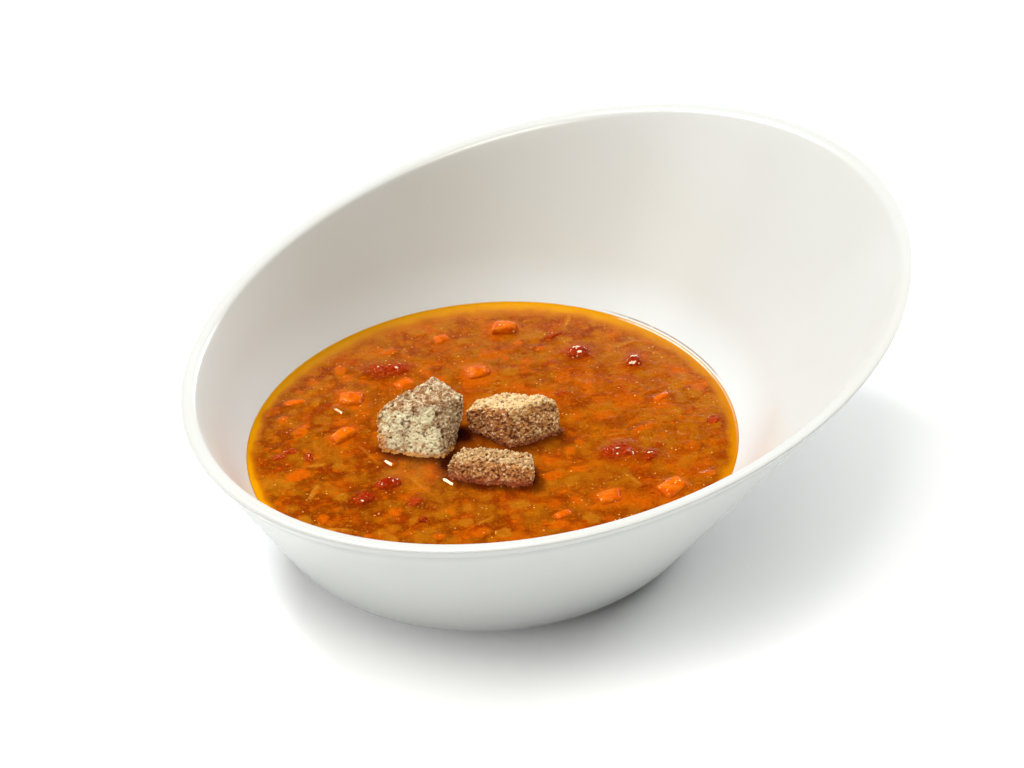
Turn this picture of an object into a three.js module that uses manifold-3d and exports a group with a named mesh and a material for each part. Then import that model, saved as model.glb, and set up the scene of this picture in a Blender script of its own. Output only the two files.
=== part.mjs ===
// Bowl of spiced lentil soup: a white slanted bowl, the soup, three bread croutons, and the larger
// dice of carrot and pieces of tomato that stand out of the soup.
//
// Millimetres, +Z up. The bowl's high side is at +X and its low side at -X. The origin is on the
// table, under the middle of the whole. Inside the group every piece is placed from the middle of
// the bowl's foot, and heights of food are counted from the soup's surface.

import * as THREE from 'three';
import { mergeVertices } from 'three/addons/utils/BufferGeometryUtils.js';
import Module from 'manifold-3d';

const wasm = await Module();
wasm.setup();

// Bowl. Its wall runs straight from a round foot to a round rim, which tilts and sits off centre.
const FOOT_RADIUS = 58.4; // where the line of the wall meets the table
const RIM_RADIUS = 104.2;
const RIM_HEIGHT = 64.6; // of the rim's middle
const RIM_OFFSET = 18.9; // of the rim's middle from the foot's middle
const RIM_TILT = THREE.MathUtils.degToRad(10.65);
const RIM_EGG = 0.01; // how far the rim is drawn out at the low side
const WALL_AT_FOOT = 5.2;
const WALL_AT_RIM = 3.7;
const BEAD = 0.5; // how far the rim's edge stands out from the wall
const BEAD_DEPTH = 5;
const FOOT_FLAT_RADIUS = 54.2; // outer edge of the ring that it stands on
const RECESS_RADIUS = 44;
const RECESS = 1.5;
const RECESS_BEVEL = 2;
const HEEL_HEIGHT = 5; // where the rounded lower edge ends
const FLOOR_HEIGHT = 5;
const FLOOR_RADIUS = 42;
const FLOOR_CURVE_HEIGHT = 17; // where the floor's curve meets the inner wall
const BOWL_FINISH = { color: 0xf2f1ec, roughness: 0.12 };

// Soup.
const SOUP_LEVEL = 23.05;
const GAP = 0.35; // between neighbours
const BITS = 84; // lentils and scraps at the surface
const BIT_MARGIN = 5; // from the edge of the soup
const BIT_CLEARANCE = 1.2; // from the larger pieces
const BIT_SWELL = 0.2; // how much a bit may be larger or smaller than its kind
const BIT_PROUD_SWELL = 0.3;
const BIT_STRAY = 0.3; // from its place on the spiral, in radians
const SOUP_FINISH = { color: 0xc9660a, roughness: 0.2 };

const SEGMENTS = 72;
const BEZIER_STEPS = 4;
const WALL_STEPS = 4;

const OUTER_FACE = { foot: FOOT_RADIUS, rim: RIM_RADIUS - BEAD };
const INNER_FACE = { foot: FOOT_RADIUS - WALL_AT_FOOT, rim: RIM_RADIUS - BEAD - WALL_AT_RIM };
const SOUP_FACE = { foot: INNER_FACE.foot - GAP, rim: INNER_FACE.rim - GAP };

// Croutons: plan corners of the underside, sunk in the soup, and of the crown, in the order left,
// front, right and back, each crown corner with its height above the soup.
const CROUTONS = [
  {
    name: 'crouton_left',
    underside: [[-29.6, -3], [-10.8, -9.8], [-8.8, 1.2], [-17, 15]],
    crown: [[-32.8, 0.8, 11], [-15.2, -0.2, 15.2], [-3.6, 3.2, 14.4], [-13, 16.4, 15]],
    sunk: 4,
    colour: 0xc9b48f,
  },
  {
    name: 'crouton_right',
    underside: [[-3.6, 5.8], [6.6, -5.8], [22, 0.8], [9.5, 16]],
    crown: [[-6.8, 7, 7.6], [8, -0.6, 12], [22.4, 5, 11], [5.2, 14.4, 8.2]],
    sunk: 4,
    colour: 0xc2a070,
  },
  {
    name: 'crouton_front',
    underside: [[-13, -17.4], [12.8, -24.2], [14.4, -15], [-7.8, -8]],
    crown: [[-11.4, -16.8, 6.8], [12.8, -22.4, 7.2], [12.4, -14.8, 6.4], [-6.8, -9.6, 7.4]],
    sunk: 4,
    colour: 0xb98a5a,
  },
];
const CROUTON_GRID = [8, 8, 7];
const CROUTON_SQUARENESS = 9;
const CRAG_HEIGHT = 0.55;
const CRAG_SPACING = 4.2;
const CROUTON_ROUGHNESS = 0.95;

// Carrot dice and tomato pieces: place, size along and across, turn in degrees, and how far the
// top stands out of the soup.
const CARROTS = [
  { name: 'carrot_back', at: [7.3, 56.2], size: [7.2, 5.8, 6.5], turn: -8, proud: 2.1 },
  { name: 'carrot_middle', at: [-1.2, 35.2], size: [8, 6.6, 6], turn: 12, proud: 0.9 },
  { name: 'carrot_left_back', at: [-37.5, 25.3], size: [8.2, 7, 6], turn: -6, proud: 1.2 },
  { name: 'carrot_left', at: [-40, 7.2], size: [8, 4.6, 5.6], turn: 40, proud: 1.8 },
  { name: 'carrot_front', at: [33.2, -29.4], size: [8.2, 5.8, 6], turn: 14, proud: 1.3 },
  { name: 'carrot_right_front', at: [50.7, -27], size: [8.6, 6.6, 6.4], turn: 38, proud: 2 },
];
const CARROT_GRID = [3, 3, 2];
const CARROT_SQUARENESS = 8;
const CARROT_OUT_OF_TRUE = 0.15; // as a share of half its size
const CARROT_TAPER = 0.09;
const CARROT_FINISH = { color: 0xe2641a, roughness: 0.3 };

const TOMATOES = [
  { name: 'tomato_back_left', at: [-26.8, 38.6], size: [13.5, 7.5, 5], turn: -2, proud: 1.5 },
  { name: 'tomato_back', at: [28.2, 41.6], size: [7.8, 5.8, 5.4], turn: -12, proud: 2.1 },
  { name: 'tomato_back_right', at: [43.9, 35.8], size: [5, 5.4, 5], turn: 10, proud: 1.9 },
  { name: 'tomato_right', at: [36.7, -8.4], size: [10.8, 8, 5.4], turn: 22, proud: 1.7 },
  { name: 'tomato_right_small', at: [45.3, -11.4], size: [5, 4.2, 4.4], turn: 30, proud: 1.5 },
  { name: 'tomato_left_inner', at: [-27.6, -17.4], size: [7.4, 4.8, 5], turn: 18, proud: 1.9 },
  { name: 'tomato_left_outer', at: [-34.4, -23.4], size: [6.6, 5.2, 5], turn: 42, proud: 1.8 },
];
const TOMATO_DETAIL = 2;
const TOMATO_LUMP_HEIGHT = 0.2; // as a share of its radius
const TOMATO_LUMPS = 1.7; // lumps to a radius
const TOMATO_FINISH = { color: 0xa8260f, roughness: 0.25 };

const SEEDS = { crouton: 21, carrot: 41, tomato: 61, bits: 11 };

// Smooth noise, from -1 to 1, of points in space. The seed picks one of many fields.
function noise(x, y, z, seed) {
  const corner = (i, j, k) => {
    const value = Math.sin(i * 127.1 + j * 311.7 + k * 74.7 + seed * 53.3) * 43758.5453;
    return (value - Math.floor(value)) * 2 - 1;
  };
  const [i, j, k] = [Math.floor(x), Math.floor(y), Math.floor(z)];
  const ease = (t) => t * t * (3 - 2 * t);
  const [u, v, w] = [ease(x - i), ease(y - j), ease(z - k)];
  const mix = THREE.MathUtils.lerp;
  const layer = (h) => mix(
    mix(corner(i, j, h), corner(i + 1, j, h), u),
    mix(corner(i, j + 1, h), corner(i + 1, j + 1, h), u),
    v,
  );
  return mix(layer(k), layer(k + 1), w);
}

// A repeatable run of random numbers from 0 to 1.
function randomRun(seed) {
  let state = seed;
  return () => {
    state = (state * 1664525 + 1013904223) % 4294967296;
    return state / 4294967296;
  };
}

function rimPoint(angle, radius) {
  const reach = radius * (1 - RIM_EGG * Math.cos(3 * angle));
  return new THREE.Vector3(
    RIM_OFFSET + reach * Math.cos(angle) * Math.cos(RIM_TILT),
    reach * Math.sin(angle),
    RIM_HEIGHT + reach * Math.cos(angle) * Math.sin(RIM_TILT),
  );
}

function floorPoint(angle, radius, height) {
  return new THREE.Vector3(radius * Math.cos(angle), radius * Math.sin(angle), height);
}

// A point of the wall's outer or inner face, a share of the way from the foot up to the rim.
function wallPoint(face, angle, share, inset = 0) {
  return floorPoint(angle, face.foot - inset, 0).lerp(rimPoint(angle, face.rim - inset), share);
}

function wallPointAtHeight(face, angle, height) {
  return wallPoint(face, angle, height / rimPoint(angle, face.rim).z);
}

function wallLength(angle) {
  return floorPoint(angle, FOOT_RADIUS, 0).distanceTo(rimPoint(angle, RIM_RADIUS));
}

function shareBelowRim(angle, drop) {
  return 1 - drop / wallLength(angle);
}

// Points along a curve from a level ring of the floor to the wall, rounded at their meeting.
function heelRings(face, floorRadius, floorHeight, wallHeight) {
  return Array.from({ length: BEZIER_STEPS + 1 }, (_, step) => (angle) => {
    const start = floorPoint(angle, floorRadius, floorHeight);
    const corner = wallPointAtHeight(face, angle, floorHeight);
    const end = wallPointAtHeight(face, angle, wallHeight);
    return new THREE.QuadraticBezierCurve3(start, corner, end).getPoint(step / BEZIER_STEPS);
  });
}

// The rounded rim, as inset from the wall's outer face and drop below the rim's plane.
function rimRings() {
  const width = WALL_AT_RIM;
  const outline = [
    [0, BEAD_DEPTH + 0.9],
    [-BEAD * 0.8, BEAD_DEPTH - 0.3],
    [-BEAD, BEAD_DEPTH - 1.4],
    [-BEAD, 1.6],
    [-BEAD * 0.4, 0.55],
    [width * 0.22, 0.05],
    [width * 0.5, 0],
    [width * 0.78, 0.25],
    [width * 0.95, 0.9],
    [width, 2],
  ];
  return outline.map(([inset, drop]) => (angle) =>
    wallPoint(OUTER_FACE, angle, shareBelowRim(angle, drop), inset));
}

// Level rings part of the way between two others.
function ringsBetween(lower, upper, steps) {
  return Array.from({ length: steps - 1 }, (_, step) => (angle) =>
    lower(angle).lerp(upper(angle), (step + 1) / steps));
}

// A closed solid from rings of points, first to last, with a point on the axis at each end.
function ringSolid(startHeight, rings, endHeight) {
  const points = [new THREE.Vector3(0, 0, startHeight)];
  for (const ring of rings) {
    for (let i = 0; i < SEGMENTS; i++) {
      points.push(ring((i / SEGMENTS) * 2 * Math.PI));
    }
  }
  points.push(new THREE.Vector3(0, 0, endHeight));
  const vertex = (ring, i) => 1 + ring * SEGMENTS + (i % SEGMENTS);
  const last = points.length - 1;
  const faces = [];
  for (let i = 0; i < SEGMENTS; i++) {
    faces.push(0, vertex(0, i + 1), vertex(0, i));
    for (let ring = 0; ring < rings.length - 1; ring++) {
      const [a, b] = [vertex(ring, i), vertex(ring, i + 1)];
      const [c, d] = [vertex(ring + 1, i + 1), vertex(ring + 1, i)];
      faces.push(a, b, c, a, c, d);
    }
    faces.push(last, vertex(rings.length - 1, i), vertex(rings.length - 1, i + 1));
  }
  const geometry = new THREE.BufferGeometry().setFromPoints(points);
  geometry.setIndex(faces);
  return geometry;
}

function bowlGeometry() {
  const foot = [
    (angle) => floorPoint(angle, RECESS_RADIUS, RECESS),
    (angle) => floorPoint(angle, RECESS_RADIUS + RECESS_BEVEL, 0),
  ];
  const heel = heelRings(OUTER_FACE, FOOT_FLAT_RADIUS, 0, HEEL_HEIGHT);
  const rim = rimRings();
  const floor = heelRings(INNER_FACE, FLOOR_RADIUS, FLOOR_HEIGHT, FLOOR_CURVE_HEIGHT).reverse();
  return ringSolid(RECESS, [
    ...foot,
    ...heel,
    ...ringsBetween(heel.at(-1), rim[0], WALL_STEPS),
    ...rim,
    ...ringsBetween(rim.at(-1), floor[0], WALL_STEPS),
    ...floor,
  ], FLOOR_HEIGHT);
}

function soupGeometry() {
  const bottom = FLOOR_HEIGHT + GAP;
  const sides = heelRings(SOUP_FACE, FLOOR_RADIUS, bottom, FLOOR_CURVE_HEIGHT);
  const surface = (angle) => wallPointAtHeight(SOUP_FACE, angle, SOUP_LEVEL);
  return ringSolid(bottom, [...sides, surface], SOUP_LEVEL);
}

// Leaves only merged positions on a geometry, so that it is one closed surface.
function sealed(geometry) {
  geometry.deleteAttribute('normal');
  geometry.deleteAttribute('uv');
  return mergeVertices(geometry, 1e-4);
}

// Moves every point of a geometry, in place.
function reshape(geometry, move) {
  const position = geometry.attributes.position;
  const point = new THREE.Vector3();
  for (let i = 0; i < position.count; i++) {
    point.fromBufferAttribute(position, i);
    position.setXYZ(i, ...move(point).toArray());
  }
  return geometry;
}

// A block from -1 to 1 with rounded edges: the squarer, the tighter they are.
function roundedBlock(grid, squareness) {
  const block = sealed(new THREE.BoxGeometry(2, 2, 2, ...grid));
  return reshape(block, (p) => {
    const reach = [p.x, p.y, p.z].reduce((sum, v) => sum + Math.abs(v) ** squareness, 0);
    return p.divideScalar(reach ** (1 / squareness));
  });
}

// A crouton: a rounded block bent to its eight corners, with a craggy crust. The margin swells it.
function croutonGeometry(crouton, seed, margin = 0) {
  const { underside, crown, sunk } = crouton;
  const bottom = underside.map(([x, y]) => new THREE.Vector3(x, y, -sunk));
  const top = crown.map(([x, y, z]) => new THREE.Vector3(x, y, z));
  const middle = [...bottom, ...top]
    .reduce((sum, p) => sum.add(p), new THREE.Vector3())
    .divideScalar(8);
  const across = ([left, front, right, back], u, v) =>
    left.clone().lerp(front, u).lerp(back.clone().lerp(right, u), v);
  const block = roundedBlock(CROUTON_GRID, CROUTON_SQUARENESS);
  return reshape(block, (p) => {
    const [u, v, w] = [p.x, p.y, p.z].map((value) => (value + 1) / 2);
    const place = across(bottom, u, v).lerp(across(top, u, v), w);
    const crag = noise(
      place.x / CRAG_SPACING,
      place.y / CRAG_SPACING,
      place.z / CRAG_SPACING,
      seed,
    );
    const outward = place.clone().sub(middle).normalize();
    place.addScaledVector(outward, crag * CRAG_HEIGHT + margin);
    place.z += SOUP_LEVEL;
    return place;
  });
}

// Sets a piece of unit size down in the soup. The margin swells it.
function setInSoup(geometry, piece, margin) {
  const [length, width, height] = piece.size;
  geometry.scale(length / 2 + margin, width / 2 + margin, height / 2 + margin);
  geometry.rotateZ(THREE.MathUtils.degToRad(piece.turn));
  geometry.translate(...piece.at, SOUP_LEVEL + piece.proud - height / 2);
  return geometry;
}

// A knife-cut die of carrot, its faces a little out of true.
function carrotGeometry(piece, seed, margin = 0) {
  const die = roundedBlock(CARROT_GRID, CARROT_SQUARENESS);
  reshape(die, (p) => {
    const [x, y, z] = p.toArray();
    p.x += CARROT_OUT_OF_TRUE * x * noise(y, z, 0, seed);
    p.y += CARROT_OUT_OF_TRUE * y * noise(x, z, 1, seed) - CARROT_TAPER * x * y;
    p.z += CARROT_OUT_OF_TRUE * noise(x, y, 2, seed);
    return p;
  });
  return setInSoup(die, piece, margin);
}

// A soft piece of tomato, lumpy all over.
function tomatoGeometry(piece, seed, margin = 0) {
  const lump = sealed(new THREE.IcosahedronGeometry(1, TOMATO_DETAIL));
  reshape(lump, (p) => {
    const [x, y, z] = p.toArray().map((value) => value * TOMATO_LUMPS);
    return p.multiplyScalar(1 + TOMATO_LUMP_HEIGHT * noise(x, y, z, seed));
  });
  return setInSoup(lump, piece, margin);
}

function toManifold(geometry) {
  return new wasm.Manifold(new wasm.Mesh({
    numProp: 3,
    vertProperties: new Float32Array(geometry.attributes.position.array),
    triVerts: new Uint32Array(geometry.index.array),
  }));
}

function fromManifold(solid) {
  const { vertProperties, triVerts } = solid.getMesh();
  const geometry = new THREE.BufferGeometry();
  geometry.setAttribute('position', new THREE.BufferAttribute(vertProperties, 3));
  geometry.setIndex(new THREE.BufferAttribute(triVerts, 1));
  return geometry;
}

// The small things that lie in the surface: lentils, crumbs of carrot and strands of onion.
const BIT_KINDS = [
  { shape: () => new THREE.IcosahedronGeometry(1, 0), size: [4.4, 4.2, 2.2], proud: 0.8 },
  { shape: () => new THREE.BoxGeometry(2, 2, 2), size: [3.6, 2.8, 2.4], proud: 0.8 },
  { shape: () => new THREE.IcosahedronGeometry(1, 0), size: [4.8, 3.6, 2.2], proud: 0.7 },
  { shape: () => new THREE.BoxGeometry(2, 2, 2), size: [6.6, 1.5, 1.8], proud: 0.6 },
];

// Places the bits on a sunflower spiral, a little out of line, clear of edge and larger pieces.
function surfaceBits(keepClear) {
  const random = randomRun(SEEDS.bits);
  const goldenAngle = Math.PI * (3 - Math.sqrt(5));
  const bits = [];
  for (let i = 0; i < BITS; i++) {
    const angle = i * goldenAngle + BIT_STRAY * random();
    const edge = wallPointAtHeight(SOUP_FACE, angle, SOUP_LEVEL);
    const reach = Math.sqrt((i + 0.5) / BITS) * (Math.hypot(edge.x, edge.y) - BIT_MARGIN);
    const kind = BIT_KINDS[i % BIT_KINDS.length];
    const swell = 1 + BIT_SWELL * (2 * random() - 1);
    const bit = {
      at: [reach * Math.cos(angle), reach * Math.sin(angle)],
      size: kind.size.map((value) => value * swell),
      turn: 180 * random(),
      proud: kind.proud * (1 + BIT_PROUD_SWELL * (2 * random() - 1)),
    };
    const radius = bit.size[0] / 2 + BIT_CLEARANCE;
    const free = keepClear.every((box) =>
      box.distanceToPoint(new THREE.Vector3(...bit.at, SOUP_LEVEL)) > radius);
    const apart = bits.every((other) =>
      Math.hypot(other.at[0] - bit.at[0], other.at[1] - bit.at[1]) > radius + other.size[0] / 2);
    if (free && apart) {
      bits.push({ ...bit, shape: kind.shape });
    }
  }
  return bits.map((bit) => setInSoup(sealed(bit.shape()), bit, 0));
}

const pieces = [
  ...CROUTONS.map((spec, i) => ({
    name: spec.name,
    finish: { color: spec.colour, roughness: CROUTON_ROUGHNESS },
    build: (margin) => croutonGeometry(spec, SEEDS.crouton + i, margin),
  })),
  ...CARROTS.map((spec, i) => ({
    name: spec.name,
    finish: CARROT_FINISH,
    build: (margin) => carrotGeometry(spec, SEEDS.carrot + i, margin),
  })),
  ...TOMATOES.map((spec, i) => ({
    name: spec.name,
    finish: TOMATO_FINISH,
    build: (margin) => tomatoGeometry(spec, SEEDS.tomato + i, margin),
  })),
].map((piece) => ({ ...piece, geometry: piece.build(0) }));

// The soup reaches up to every piece that stands in it, and carries the small bits.
function soupWithPockets() {
  let soup = toManifold(soupGeometry());
  const keepClear = [];
  for (const piece of pieces) {
    piece.geometry.computeBoundingBox();
    keepClear.push(piece.geometry.boundingBox);
    soup = soup.subtract(toManifold(piece.build(GAP)));
  }
  for (const bit of surfaceBits(keepClear)) {
    soup = soup.add(toManifold(bit));
  }
  return fromManifold(soup);
}

function mesh(name, geometry, finish) {
  const material = new THREE.MeshStandardMaterial({ ...finish, metalness: 0 });
  const part = new THREE.Mesh(geometry, material);
  part.name = name;
  return part;
}

const aboutFoot = new THREE.Group();
aboutFoot.position.x = RIM_EGG * RIM_RADIUS * Math.cos(RIM_TILT) - RIM_OFFSET;
aboutFoot.add(mesh('bowl', bowlGeometry(), BOWL_FINISH));
aboutFoot.add(mesh('soup', soupWithPockets(), SOUP_FINISH));
for (const { name, geometry, finish } of pieces) {
  aboutFoot.add(mesh(name, geometry, finish));
}

const bowlOfSoup = new THREE.Group();
bowlOfSoup.add(aboutFoot);

export default bowlOfSoup;
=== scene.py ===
"""Looks of a white slanted bowl of spiced lentil soup with croutons, carrot and tomato.

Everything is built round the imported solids, in metres and in their frame: +Z up, the bowl's high
side at +X. Sizes whose name ends in _MM are millimetres, as are the places of the food, which are
counted from the middle of the bowl's foot.
"""

import itertools
import math

import bmesh
import bpy
import numpy as np
from bpy.props import FloatProperty, FloatVectorProperty, IntProperty, PointerProperty
from mathutils import Matrix, Vector
from mathutils.bvhtree import BVHTree


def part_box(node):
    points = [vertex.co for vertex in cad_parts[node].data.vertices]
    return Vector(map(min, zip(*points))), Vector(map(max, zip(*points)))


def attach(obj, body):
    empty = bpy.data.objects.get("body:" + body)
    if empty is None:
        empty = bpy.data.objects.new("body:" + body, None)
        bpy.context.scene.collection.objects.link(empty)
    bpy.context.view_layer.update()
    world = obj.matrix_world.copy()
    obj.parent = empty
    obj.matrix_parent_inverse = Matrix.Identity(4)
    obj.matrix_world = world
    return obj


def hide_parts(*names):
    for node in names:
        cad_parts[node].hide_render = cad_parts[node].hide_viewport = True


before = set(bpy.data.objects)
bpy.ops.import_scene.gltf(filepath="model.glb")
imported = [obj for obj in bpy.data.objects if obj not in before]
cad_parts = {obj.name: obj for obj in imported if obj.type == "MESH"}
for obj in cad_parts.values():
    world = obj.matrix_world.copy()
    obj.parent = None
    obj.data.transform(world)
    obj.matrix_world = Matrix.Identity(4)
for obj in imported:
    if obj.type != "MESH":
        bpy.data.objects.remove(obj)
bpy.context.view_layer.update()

bl_info = {
    "name": "Bowl of Spiced Lentil Soup",
    "version": (1, 0, 0),
    "blender": (4, 5, 0),
    "location": "3D View > Sidebar > Lentil Soup",
    "description": "Builds a slanted porcelain bowl with lentil soup, croutons, carrot and tomato",
    "category": "Object",
}

MM = 0.001
SAME_POINT = 1e-6


def linear(red, green, blue):
    """A colour in Blender's own scale, from the 0 to 255 numbers that a picture shows."""

    def channel(value):
        share = value / 255
        return share / 12.92 if share <= 0.04045 else ((share + 0.055) / 1.055) ** 2.4

    return channel(red), channel(green), channel(blue)


# Food that shows in the soup's surface: kind, place, length, width, turn in degrees, and how far
# it stands out of the soup. What stands out less than nothing lies under the surface.
SEEN_BITS = [
    ("carrot", (-11.0, 53.2), 4.6, 3.6, 20, 0.5),
    ("carrot", (2.8, 43.6), 6.5, 4.5, 5, -0.5),
    ("carrot", (-22.3, 31.5), 5.6, 4.4, 30, 0.7),
    ("carrot", (-1.4, 31.3), 9.0, 6.5, 10, -0.4),
    ("carrot", (-53.6, 25.3), 6.0, 2.2, 10, 0.5),
    ("carrot", (-52.2, 10.3), 5.0, 4.0, 35, 0.2),
    ("carrot", (-52.8, -10.4), 7.5, 5.0, 15, 0.1),
    ("carrot", (23.1, 29.9), 5.0, 4.2, 12, -0.3),
    ("carrot", (41.0, 17.0), 8.5, 7.5, 8, -0.6),
    ("carrot", (50.6, 17.4), 5.0, 2.2, 40, 0.6),
    ("carrot", (44.4, 2.7), 7.5, 2.6, 28, 0.3),
    ("carrot", (34.1, 10.2), 6.0, 4.0, 15, -0.5),
    ("carrot", (18.1, -17.6), 5.5, 4.0, 20, 0.1),
    ("carrot", (25.7, -15.1), 4.0, 3.0, 0, 0.2),
    ("carrot", (20.0, -36.0), 5.0, 2.6, 30, 0.6),
    ("carrot", (18.8, -40.3), 6.0, 3.4, 10, 0.0),
    ("carrot", (62.0, 22.0), 5.0, 3.4, 60, -0.3),
    ("carrot", (-30.5, -3.5), 5.0, 3.6, 15, -0.4),
    ("carrot", (-26.0, -30.0), 4.2, 3.0, 70, 0.1),
    ("carrot", (-3.0, -42.0), 5.0, 3.2, 25, -0.2),
    ("tomato", (20.1, 37.9), 8.0, 2.6, 5, -0.4),
    ("tomato", (22.2, 21.5), 4.6, 3.4, 20, 0.3),
    ("tomato", (58.1, 10.6), 6.0, 3.0, 10, -0.3),
    ("tomato", (64.3, 4.6), 4.2, 3.2, 30, 0.8),
    ("tomato", (-58.1, -1.0), 4.0, 2.6, 20, 0.4),
    ("tomato", (-49.7, -1.8), 3.4, 2.6, 80, 0.5),
    ("tomato", (-54.8, 1.3), 4.6, 2.0, 5, 0.4),
    ("tomato", (-20.5, -26.0), 5.0, 3.2, 45, 0.6),
    ("tomato", (-18.5, -34.9), 2.6, 2.2, 0, 0.9),
    ("tomato", (21.2, 51.3), 5.2, 1.8, 25, 0.5),
    ("lentil", (-9.6, 60.3), 7.0, 5.0, 10, -0.2),
    ("lentil", (-36.8, 21.5), 7.0, 4.0, 10, -0.1),
    ("lentil", (53.7, 10.3), 5.5, 3.0, -10, 0.0),
    ("lentil", (63.0, 14.1), 8.0, 6.0, 30, -0.5),
    ("lentil", (8.6, -30.4), 5.6, 4.8, 0, 0.1),
    ("lentil", (-60.7, -13.4), 6.0, 4.6, 20, 0.0),
    ("lentil", (-46.0, 16.0), 5.0, 4.2, 0, -0.3),
    ("strand", (36.4, 0.7), 6.5, 0.7, 8, 0.2),
    ("strand", (38.0, -1.6), 5.0, 0.6, 14, 0.2),
    ("strand", (-19.0, -18.2), 9.5, 0.7, -55, 0.2),
    ("strand", (-33.0, -2.0), 8.0, 0.7, -60, 0.1),
    ("strand", (-2.0, -37.0), 7.0, 0.7, 35, 0.1),
]

# How each kind of small thing looks through a film of soup: its colour, how soft its edge is, how
# much it lifts the surface over it, and how square its outline is.
BIT_LOOKS = {
    "carrot": {"colour": linear(218, 96, 4), "soft": 1.1, "lift": 0.9, "square": 3.2},
    "tomato": {"colour": linear(168, 54, 4), "soft": 1.6, "lift": 0.9, "square": 2.2},
    "lentil": {"colour": linear(188, 110, 16), "soft": 1.3, "lift": 0.5, "square": 2.2},
    "strand": {"colour": linear(202, 122, 28), "soft": 0.8, "lift": 0.2, "square": 2.2},
}

# The kinds that are pieces of their own where they stand out of the soup: thickness as a share of
# the width, gloss, and the height and size in metres of the lumps of the surface.
WHOLE_LOOKS = {
    "carrot": {"thick": 0.55, "roughness": 0.16, "uneven": 0.0006, "lumps": 0.0022},
    "tomato": {"thick": 0.5, "roughness": 0.08, "uneven": 0.0014, "lumps": 0.0011},
}
WHOLE_FROM_MM = 0.35

# The bits that the solids carry, by kind in turn: length, width, and how proud they stand.
SOLID_BIT_KINDS = [
    ("lentil", (4.4, 4.2), 0.8),
    ("carrot", (3.6, 2.8), 0.8),
    ("lentil", (4.8, 3.6), 0.7),
    ("strand", (6.6, 1.5), 0.6),
]
SOLID_BITS = 84
SOLID_BIT_SEED = 11
SOLID_BIT_STRAY = 0.3
SOLID_BIT_SWELL = 0.2
SOLID_BIT_PROUD_SWELL = 0.3
SOLID_BIT_PROUD_SHARE = 0.55
SOLID_BIT_MARGIN_MM = 5
SOLID_BIT_CLEARANCE_MM = 1.2

# The rest lie at random, most of them under the surface: how many, their kinds in turn, and the
# least and most of their length and of how far they stand out of the soup. Deep ones are large.
FINE_BITS = {
    "count": 700,
    "seed": 5,
    "kinds": ("lentil", "carrot", "lentil", "lentil", "carrot", "tomato", "lentil", "carrot"),
    "lengths": (1.8, 4.6),
    "proud": (-1.5, 0.15),
}
DEEP_BITS = {
    "count": 260,
    "seed": 19,
    "kinds": ("lentil", "carrot", "lentil", "tomato", "carrot", "lentil"),
    "lengths": (4.5, 9.0),
    "proud": (-2.6, -1.4),
}
RANDOM_BIT_WIDTHS = (0.55, 0.95)
RANDOM_BIT_MARGIN_MM = 5.5
FINE_BIT_CLEARANCE_MM = 0.4
FINE_BIT_SPACING = 0.25

# Colours of the bread: of its crumb, of its pits, painted shade in the pores with browner crumb,
# of the faces that look a given way, each with the cosines at which the tint starts and is full,
# toast and on the left crouton's right side painted shade as well, of the ends that lie furthest
# one way, each with the millimetres from its tip over which the tint grows, and of the part that
# is soaked.
CROUTONS = {
    "crouton_left": {
        "crumb": linear(255, 247, 206),
        "pit": linear(112, 70, 38),
        "tints": [
            ((-0.25, 0.05, 0.97), (0.54, 1.18), linear(190, 142, 92)),
            ((-0.60, 0.75, 0.25), (0.20, 0.80), linear(170, 112, 66)),
            ((0.45, 0.35, 0.82), (0.70, 1.10), linear(172, 126, 80)),
            ((-0.95, -0.25, 0.15), (0.50, 1.05), linear(228, 156, 74)),
            # The right side of the left crouton is painted darker: painted shade, with browner toast.
            ((0.80, -0.50, 0.15), (0.30, 1.00), linear(170, 134, 92)),
        ],
        "ends": [
            ((0.0, 0.0, 1.0), (-4.2, -0.4), linear(160, 112, 68)),
            ((-1.0, -0.2, -0.1), (-3.8, -0.6), linear(230, 154, 66)),
        ],
        "soak": linear(226, 146, 52),
        "soak_height": 3.0,
        "grain": 0.8,
        "seed": 3.0,
    },
    "crouton_right": {
        "crumb": linear(234, 196, 138),
        "pit": linear(102, 48, 18),
        "tints": [
            ((0.35, -0.92, 0.10), (0.22, 0.92), linear(210, 160, 94)),
            ((-0.62, -0.75, 0.10), (0.35, 0.98), linear(196, 124, 60)),
        ],
        "soak": linear(140, 50, 8),
        "soak_height": 3.4,
        "grain": 1.0,
        "seed": 17.0,
    },
    "crouton_front": {
        "crumb": linear(200, 156, 98),
        "pit": linear(108, 50, 18),
        "tints": [((0.0, -1.0, 0.0), (0.15, 0.92), linear(212, 142, 74))],
        "soak": linear(168, 60, 8),
        "soak_height": 5.0,
        "grain": 1.0,
        "seed": 29.0,
    },
}

CARROTS = [f"carrot_{place}" for place in ("back", "middle", "left_back", "left", "front", "right_front")]
TOMATOES = [
    f"tomato_{place}"
    for place in ("back_left", "back", "back_right", "right", "right_small", "left_inner", "left_outer")
]

# Longer painted glints, strokes of shine on some pieces of tomato: place from the piece's middle, and half
# sizes.
TOMATO_GLINTS_MM = {
    "tomato_back_right": [
        ((0.1, 0.6), (1.3, 0.30)),
        ((-0.5, -1.5), (1.3, 0.45)),
        ((1.5, -1.9), (0.4, 0.3)),
    ],
    "tomato_back": [
        ((-2.2, 0.3), (0.5, 0.45)),
        ((-1.1, 1.2), (0.5, 0.4)),
        ((2.2, 0.4), (0.5, 0.4)),
    ],
    "tomato_right_small": [((0.2, 0.5), (0.9, 0.35))],
}

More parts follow.
